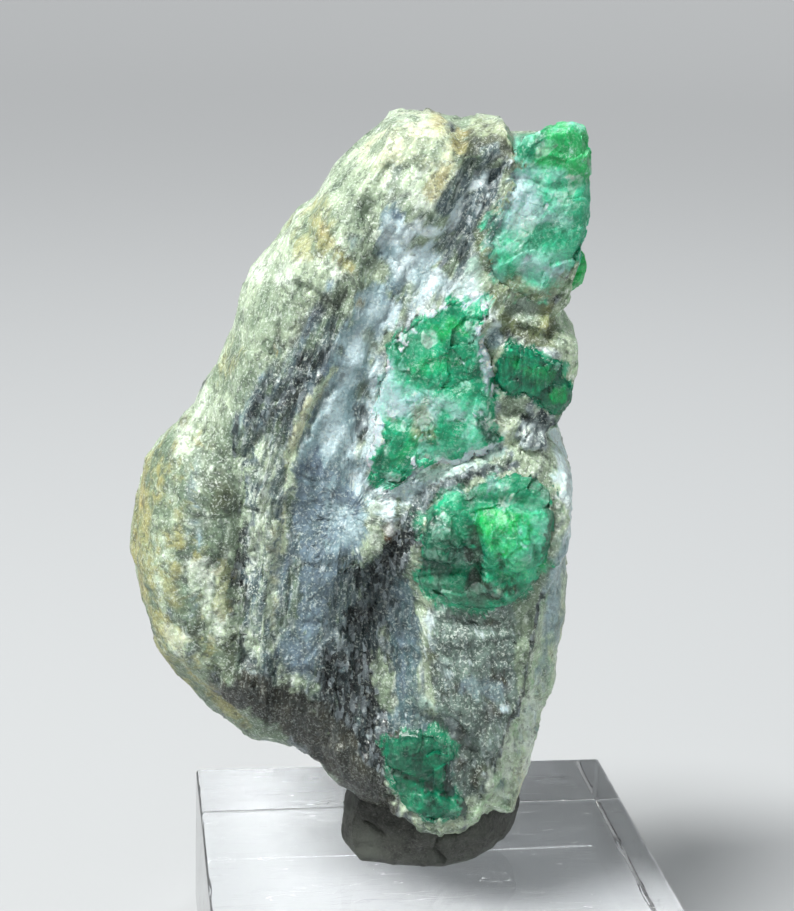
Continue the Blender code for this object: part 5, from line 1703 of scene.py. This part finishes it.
def emeralds() -> tuple[Emerald, ...]:
    """Return the six crystals, from the top of the stone to its foot."""
    return (
        Emerald(
            "emerald_top", "emerald_pale",
            table("4.2 60.2, 4.9 61.3, 6.4 62.2, 8.2 62.6, 9.3 62.2, 9.7 60.4, 9.9 58.3, 9.8 55.9, "
                  "9.6 53.8, 9 51.6, 8.1 50.2, 6.6 49.6, 4.7 49.8, 3.4 50.6, 2.5 52.4, 2.7 54.5, "
                  "3.2 56.2, 3.7 58.1"),
            (6.3, 56.0), 3.4,
            (Lobe((6.6, 60.2), 8.9, 1.7, 0.55, 5, 20.0), Lobe((6.0, 55.0), 8.8, 2.6, 0.42, 6, 8.0),
             Lobe((5.6, 51.6), 8.3, 1.4, 0.5, 5, 50.0)),
            (300, 110), Rock.MILKY, read_patches(TOP_PATCHES), 11, halo=Rock.BEIGE_SHELF, halo_width=0.1,
            halo_strength=0.7, splinters=0.5),
        Emerald(
            "emerald_edge", "emerald_vivid",
            table("8.4 51.6, 9.5 52.3, 10.2 51.7, 10.5 50.6, 10.3 49.4, 9.7 48.8, 8.8 48.5, 7.6 49.2, "
                  "7.4 50.8"),
            (9.0, 50.4), -0.7,
            (Lobe((9.2, 50.4), 1.8, 0.6, 0.7, 5, 0.0),),
            (160, 60), Rock.VIVID, read_patches(EDGE_PATCHES), 23, halo=Rock.RIM_PALE, halo_width=0.1,
            halo_strength=0.5),
        Emerald(
            "emerald_centre", "emerald_pale",
            table("1.1 49.5, 2.2 49.9, 2.6 49.2, 2.6 48.3, 2 47, 2.1 45.6, 2.6 44.6, 2.9 43.4, 2.9 42.1, "
                  "2.8 41.4, 2.9 40.2, 3.2 39.3, 3.9 38.6, 3.4 37.9, 2.1 37.3, 1.2 36.6, 0.1 36.4, "
                  "-1.1 36.7, -2.1 36.5, -2.8 35.8, -3.6 35, -5.1 35, -6 35.8, -6.2 37, -5.7 38.4, "
                  "-5.6 39.8, -5.4 41.5, -4.9 43.8, -4.6 45.6, -3.7 46.8, -1.6 48.3"),
            (-1.3, 41.6), 4.4,
            (Lobe((-0.6, 45.2), 9.5, 2.2, 0.4, 6, 15.0), Lobe((1.0, 40.6), 9.7, 1.6, 0.45, 5, 40.0),
             Lobe((-2.6, 41.4), 9.2, 1.8, 0.35, 6, 0.0), Lobe((-3.8, 37.4), 9.5, 1.4, 0.45, 5, 10.0)),
            (400, 120), Rock.GREEN, read_patches(CENTRE_PATCHES), 37, halo_width=0.3, halo_strength=0.75,
            ragged=1.3, splinters=0.8),
        Emerald(
            "emerald_right", "emerald_dark",
            table("4.4 45.6, 5.6 45, 6.9 44.6, 8 44.4, 8.3 43.4, 9.2 42.4, 9.2 41.5, 8.8 40.9, 8 40.9, "
                  "7.2 41.3, 6.7 42.2, 5.8 42.6, 4.8 42.3, 4.1 43, 3.9 44.4"),
            (6.6, 43.3), 4.6,
            (Lobe((5.9, 43.7), 9.1, 1.5, 0.5, 4, 0.0), Lobe((8.2, 42.2), 8.5, 0.8, 0.6, 4, 35.0)),
            (240, 90), Rock.DEEP, read_patches(RIGHT_PATCHES), 53, striae=0.10, halo=Rock.RIM_PALE,
            halo_width=-0.2, halo_strength=0.7, flare=0.7, sunk=0.3, reach=0.55, ragged=0.5, splinters=0.15),
        Emerald(
            "emerald_lower", "emerald_vivid",
            table("-2.1 31.1, -1.6 32.2, -1 33.2, -0.1 34, 1.5 34.7, 3.7 35.8, 5.4 36.2, 7.1 36.1, "
                  "8 35.2, 8.2 33.9, 8 31.9, 8 30.2, 7.3 28.6, 6.3 26.9, 5.4 25.9, 3.5 25.2, 1.4 25.3, "
                  "-0.3 26, -1.7 26.7, -2.1 28.1, -1.9 29.4"),
            (3.0, 30.6), 4.6,
            (Lobe((4.9, 31.6), 12.0, 1.3, 0.62, 6, 12.0), Lobe((-0.2, 30.7), 11.0, 0.9, 0.7, 5, 40.0),
             Lobe((1.2, 27.4), 10.4, 0.8, 0.6, 5, 0.0), Lobe((4.6, 28.0), 10.6, 1.2, 0.55, 5, 20.0)),
            (360, 120), Rock.GREEN, read_patches(LOWER_PATCHES), 71, bedding=0.95, halo=Rock.MURKY,
            halo_width=0.35, halo_strength=0.8, flare=0.3, reach=-0.1, ragged=0.9, splinters=0.3,
            cracks=((table("1.7 34.2, 1.9 31.8, 2.4 29.6, 2.3 27.4"), 0.75, 0.6),
                    (table("4.9 32.2, 5.4 30.6"), -0.3, 1.6), (table("-0.4 31.4, -0.1 30.2"), -0.3, 1.1),
                    (table("3.9 31.4, 4.3 29.8, 4.2 28.8"), 0.35, 0.3),
                    (table("6.4 32.4, 6.9 30.2"), 0.3, 0.25),
                    (table("-2.2 29.2, -0.2 28.8, 1.6 28.6"), 0.4, 0.5),
                    (table("2.6 34.3, 5.2 34.4, 7.9 33.9"), 0.5, 0.4),
                    (table("3.6 28.6, 5 28.4, 7 28.9"), 0.3, 0.4))),
        Emerald(
            "emerald_foot", "emerald_dark",
            table("-3.9 14, -2.3 14.4, -0.1 14.3, 1.1 13.4, 1.5 12.5, 1.2 11.4, 1 10, 2 8.7, 2.5 7.9, "
                  "2.2 7.2, 1.1 6.8, -0.6 7, -1.9 7.9, -2.7 9, -3.4 10.6, -3.9 12.4"),
            (-0.9, 10.6), 4.6,
            (Lobe((-1.4, 12.4), 9.1, 1.3, 0.4, 6, 0.0), Lobe((-0.2, 8.3), 8.9, 0.8, 0.5, 5, 20.0)),
            (240, 90), Rock.DEEP, read_patches(FOOT_PATCHES), 97, halo=Rock.DARK_GNEISS, halo_width=0.2,
            halo_strength=0.6, reach=0.3, ragged=0.8, splinters=0.2,
            cracks=((table("-3.6 11.1, -1.4 10.2, 1.3 8.9"), 0.35, 0.3),)),
    )


FINISHES = {
    "emerald_pale": EmeraldFinish("emerald_pale", 0.70, 0.25, 0.50, 0.12, 0.15, 0.30),
    "emerald_vivid": EmeraldFinish("emerald_vivid", 0.45, 0.45, 0.55, 0.18, 0.12, 0.26),
    "emerald_dark": EmeraldFinish("emerald_dark", 0.14, 0.45, 0.45, 0.20, 0.18, 0.20),
}


# ---------------------------------------------------------------------------- putty and block


@dataclass
class Putty:
    """The lump of putty that holds the stone's foot."""

    around: int = 240
    places: int = 110
    dents: tuple = (((-4.6, -3.9, 3.0), 1.9, 0.5), ((3.0, -4.6, 2.6), 1.5, 0.35),
                    ((-0.6, -4.9, 4.6), 1.2, -0.35), ((6.6, 0.4, 3.0), 1.8, 0.4))
    cracks: tuple = (((-0.2, 5.4), (0.6, 4.0), (0.2, 2.6), (1.2, 1.4)), ((0.6, 4.0), (2.0, 3.6), (3.2, 4.2)),
                     ((-5.6, 4.4), (-4.2, 3.4)))

    def surface(self, fractions: Array, places: Array) -> Array:
        """Return the putty's points: its footprint, carried up its section, with a flat underside."""
        arm = along_outline(PUTTY_FOOTPRINT, fractions)
        stops, shares, heights = zip(*PUTTY_SECTION)
        points = np.empty((len(fractions), 3))
        points[:, :2] = arm * soft_interp(places, stops, shares, PUTTY_SOFTNESS)[:, None]
        points[:, 2] = soft_interp(places, stops, heights, PUTTY_SOFTNESS)
        points[:, 2] = np.where(places < stops[1], 0.0, points[:, 2])
        loose = np.clip(points[:, 2:], 0.0, 1.0)
        points += (roughened(points, PUTTY_LUMPS) - points) * loose
        points[:, 2] += PUTTY_UNDERSIDE
        return points

    def relief(self, points: Array) -> Array:
        """Return how far each point stands out: kneaded lumps, thumb dents, cracks and crumbs.

        A dent is a bell curve about its centre and a crack a narrow bell curve across its line on
        the front. Nothing moves at the flat underside.
        """
        lumps = 0.38 * fractal(points, 3.4, 701, 3, 0.5) + 0.10 * fractal(points, 0.9, 711, 3, 0.6)
        for centre, radius, depth in self.dents:
            lumps -= depth * np.exp(-np.square(points - np.array(centre)).sum(axis=1) / radius ** 2)
        for line in self.cracks:
            away = follow_line(points[:, 0], points[:, 2], line)[0] + 0.15 * value_noise(points, 0.6, 721)
            lumps -= 0.55 * np.exp(-np.square(away / 0.13)) * (points[:, 1] < 0.0)
        crumbs = cell_field(points, 1.1, 731)
        lumps += 0.12 * (crumbs.tag > 0.75) * smooth(0.35 - crumbs.near, 0.0, 0.25)
        return lumps * smooth(points[:, 2], PUTTY_UNDERSIDE, PUTTY_UNDERSIDE + 0.8)

    def build(self, seat: float) -> Object:
        """Lay out the surface, knead it and make the mesh."""
        points = lay_out(self.surface, self.around, np.linspace(0.0, 1.0, self.places))
        return closed_mesh("kneaded_putty", points, self.around, self.relief(points), seat, {}, 180.0)


@dataclass
class Block:
    """The clear block: polished faces, edges broken by sawing and a few small nicks."""

    cells: int = 64
    nick: float = 0.22
    proud: float = 0.02

    def build(self) -> Object:
        """Make the block from six square grids that meet at its edges.

        Each grid lies on one face of a box. A point's place on the inner box, which is smaller by
        the bevel all round, plus the bevel's radius along what is left over, gives flat faces with
        round edges. Nicks take a little more off the edges where a noise is high.
        """
        half = np.array([BLOCK_WIDTH, BLOCK_WIDTH, BLOCK_HEIGHT]) / 2
        steps = np.sin(np.linspace(-0.5, 0.5, self.cells + 1) * math.pi)
        steps = np.sign(steps) * np.abs(steps) ** 0.8
        first, second = np.meshgrid(steps, steps, indexing="ij")
        flat = np.ones_like(first)
        index = np.arange(flat.size).reshape(flat.shape)
        quads = np.stack([index[:-1, :-1], index[1:, :-1], index[1:, 1:], index[:-1, 1:]], axis=-1)
        quads = quads.reshape(-1, 4)
        points, faces = [], []
        for axis in range(3):
            for side in (1.0, -1.0):
                sheet = [first, second]
                sheet.insert(axis, side * flat)
                order = quads if side * (-1) ** axis > 0 else quads[:, ::-1]
                faces.append(order + len(points) * flat.size)
                points.append(np.stack(sheet, axis=-1).reshape(-1, 3))
        outer = np.concatenate(points) * half
        inner = np.clip(outer, BLOCK_BEVEL - half, half - BLOCK_BEVEL)
        over = outer - inner
        away = over / np.maximum(np.linalg.norm(over, axis=1, keepdims=True), 1e-9)
        corner = smooth(np.sort(np.abs(over), axis=1)[:, 1], 0.0, BLOCK_BEVEL)
        nicks = smooth(value_noise(outer, 1.3, 811), 0.35, 0.8) * corner
        waves = 0.02 * fractal(outer, 9.0, 821, 2) * smooth(outer[:, 2], -half[2] + 0.1, -half[2] + 1.0)
        skin = inner + away * (BLOCK_BEVEL - self.nick * nicks - self.proud + waves)[:, None]
        skin[:, 2] += half[2]
        _, keep, back = np.unique(np.round(outer, 5), axis=0, return_index=True, return_inverse=True)
        mesh = bpy.data.meshes.new("sawn_block")
        corners_of = back.reshape(-1)[np.concatenate(faces)]
        mesh.from_pydata((skin[keep] * MM).tolist(), [], corners_of.tolist())
        mesh.shade_smooth()
        mesh.set_sharp_from_angle(angle=math.radians(30.0))
        return placed("sawn_block", mesh)


# ---------------------------------------------------------------------------- studio


LAMP_TARGET = (0.0, 0.0, 0.045)


@dataclass(frozen=True)
class Lamp:
    """A soft square light that faces the specimen."""

    name: str
    place: Place
    size: float
    power: float
    colour: Place = (1.0, 1.0, 1.0)

    def build(self) -> None:
        """Add the light."""
        light = bpy.data.lights.new(self.name, "AREA")
        light.size, light.energy, light.color = self.size, self.power, self.colour
        lamp = placed(self.name, light)
        lamp.location = self.place
        aim = Vector(LAMP_TARGET) - Vector(self.place)
        lamp.rotation_euler = aim.to_track_quat("-Z", "Y").to_euler()


@dataclass
class Studio:
    """The floor, the lights and the camera."""

    eye: Place = (-0.0268, -0.1596, 0.0904)
    pitch: float = 14.86
    yaw: float = 8.17
    roll: float = 1.73
    lens: float = 82.08
    sky_power: float = 2.75
    sky_spread: float = 14.0
    sky_colour: Place = (1.0, 1.0, 0.99)
    sky_aim: Place = (0.40, 0.38, -0.90)
    room_colour: Colour = (0.86, 0.90, 0.92, 1.0)
    room_power: float = 0.23
    lamps: tuple[Lamp, ...] = (
        Lamp("key", (-0.20, -0.08, 0.32), 0.05, 0.85, (1.0, 1.0, 0.97)),
        Lamp("fill", (0.42, -0.30, 0.20), 0.30, 0.30, (0.95, 1.0, 1.0)),
        Lamp("crown", (0.10, 0.20, 0.42), 0.16, 0.5, (0.97, 1.0, 1.0)),
    )

    def floor(self) -> None:
        """Add the floor: level round the specimen, then curving up far away like a shallow bowl.

        The height is nothing out to the edge of the level part and then grows with the square of
        the distance beyond it.
        """
        reach = np.concatenate([[0.0], np.geomspace(0.04, 2.6, 60)])
        turn = np.arange(96) * 2.0 * math.pi / 96
        radius, angle = np.meshgrid(reach[1:], turn, indexing="ij")
        height = 0.32 * np.square(np.maximum(0.0, radius - 0.9))
        points = np.stack([radius * np.cos(angle), radius * np.sin(angle), height], axis=-1).reshape(-1, 3)
        index = np.arange(len(points)).reshape(radius.shape)
        ahead = np.roll(index, -1, axis=1)
        quads = np.stack([index[:-1], index[1:], ahead[1:], ahead[:-1]], axis=-1).reshape(-1, 4)
        middle = len(points)
        fan = np.stack([np.full(len(turn), middle), index[0], ahead[0]], axis=1)
        mesh = bpy.data.meshes.new("floor")
        mesh.from_pydata(points.tolist() + [[0.0, 0.0, 0.0]], [], quads.tolist() + fan.tolist())
        mesh.shade_smooth()
        mesh.materials.append(FloorFinish().material())
        placed("floor", mesh)

    def camera(self) -> None:
        """Add the camera from its place, its pitch, yaw and roll, and its focal length."""
        pitch, yaw, roll = (math.radians(angle) for angle in (self.pitch, self.yaw, self.roll))
        ahead = Vector((math.sin(yaw) * math.cos(pitch), math.cos(yaw) * math.cos(pitch), -math.sin(pitch)))
        level = Vector((math.cos(yaw), -math.sin(yaw), 0.0))
        above = level.cross(ahead)
        right = level * math.cos(roll) + above * math.sin(roll)
        up = above * math.cos(roll) - level * math.sin(roll)
        lens = bpy.data.cameras.new("camera")
        lens.lens, lens.sensor_width, lens.sensor_fit = self.lens, 36.0, "AUTO"
        lens.clip_start = 0.005
        camera = placed("camera", lens)
        turned = Matrix((right, up, -ahead)).transposed().to_4x4()
        camera.matrix_world = Matrix.Translation(self.eye) @ turned
        bpy.context.scene.camera = camera

    def build(self) -> None:
        """Add everything and set the background light."""
        scene = bpy.context.scene
        self.camera()
        self.floor()
        for lamp in self.lamps:
            lamp.build()
        sky = bpy.data.lights.new("sky_light", "SUN")
        sky.energy, sky.angle, sky.color = self.sky_power, math.radians(self.sky_spread), self.sky_colour
        aim = Vector(self.sky_aim).to_track_quat("-Z", "Y")
        placed("sky_light", sky).rotation_euler = aim.to_euler()
        world = bpy.data.worlds.new("soft_room")
        world.use_nodes = True
        colour, strength = world.node_tree.nodes["Background"].inputs[:2]
        colour.default_value, strength.default_value = self.room_colour, self.room_power
        scene.world = world
        scene.view_settings.view_transform = "Standard"


# ---------------------------------------------------------------------------- assembly


def dress(piece: Object, node: str, material: Material) -> None:
    """Give a piece its material and let it stand for a node of the frame.

    Args:
        piece: the finished piece.
        node: the node that it stands for.
        material: the finish.
    """
    piece.data.materials.append(material)
    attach(piece, "root")
    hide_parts(node)
    LOG.info("%s stands for %s with %d points", piece.name, node, len(piece.data.vertices))


def corners(bounds: tuple) -> list[list[float]]:
    """Return a box's two corners as plain lists."""
    return [[float(value) for value in corner] for corner in bounds]


def main() -> None:
    """Load the frame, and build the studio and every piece."""
    logging.basicConfig(level=logging.INFO, format="%(message)s")
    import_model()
    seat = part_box("acrylic_base")[1].z
    Studio().build()
    for group in Groups:
        group.build()
    crystals = emeralds()
    stone = Stone(patches=read_patches(FACE_PATCHES), crystals=crystals)
    dress(stone.build(seat), "matrix", StoneFinish().material())
    finishes = {slot: finish.material() for slot, finish in FINISHES.items()}
    for crystal in crystals:
        dress(crystal.build(seat), crystal.name, finishes[crystal.slot])
    dress(Putty().build(seat), "putty", PuttyFinish().material())
    dress(Block().build(), "acrylic_base", AcrylicFinish().material())


if __name__ == "__main__":
    main()
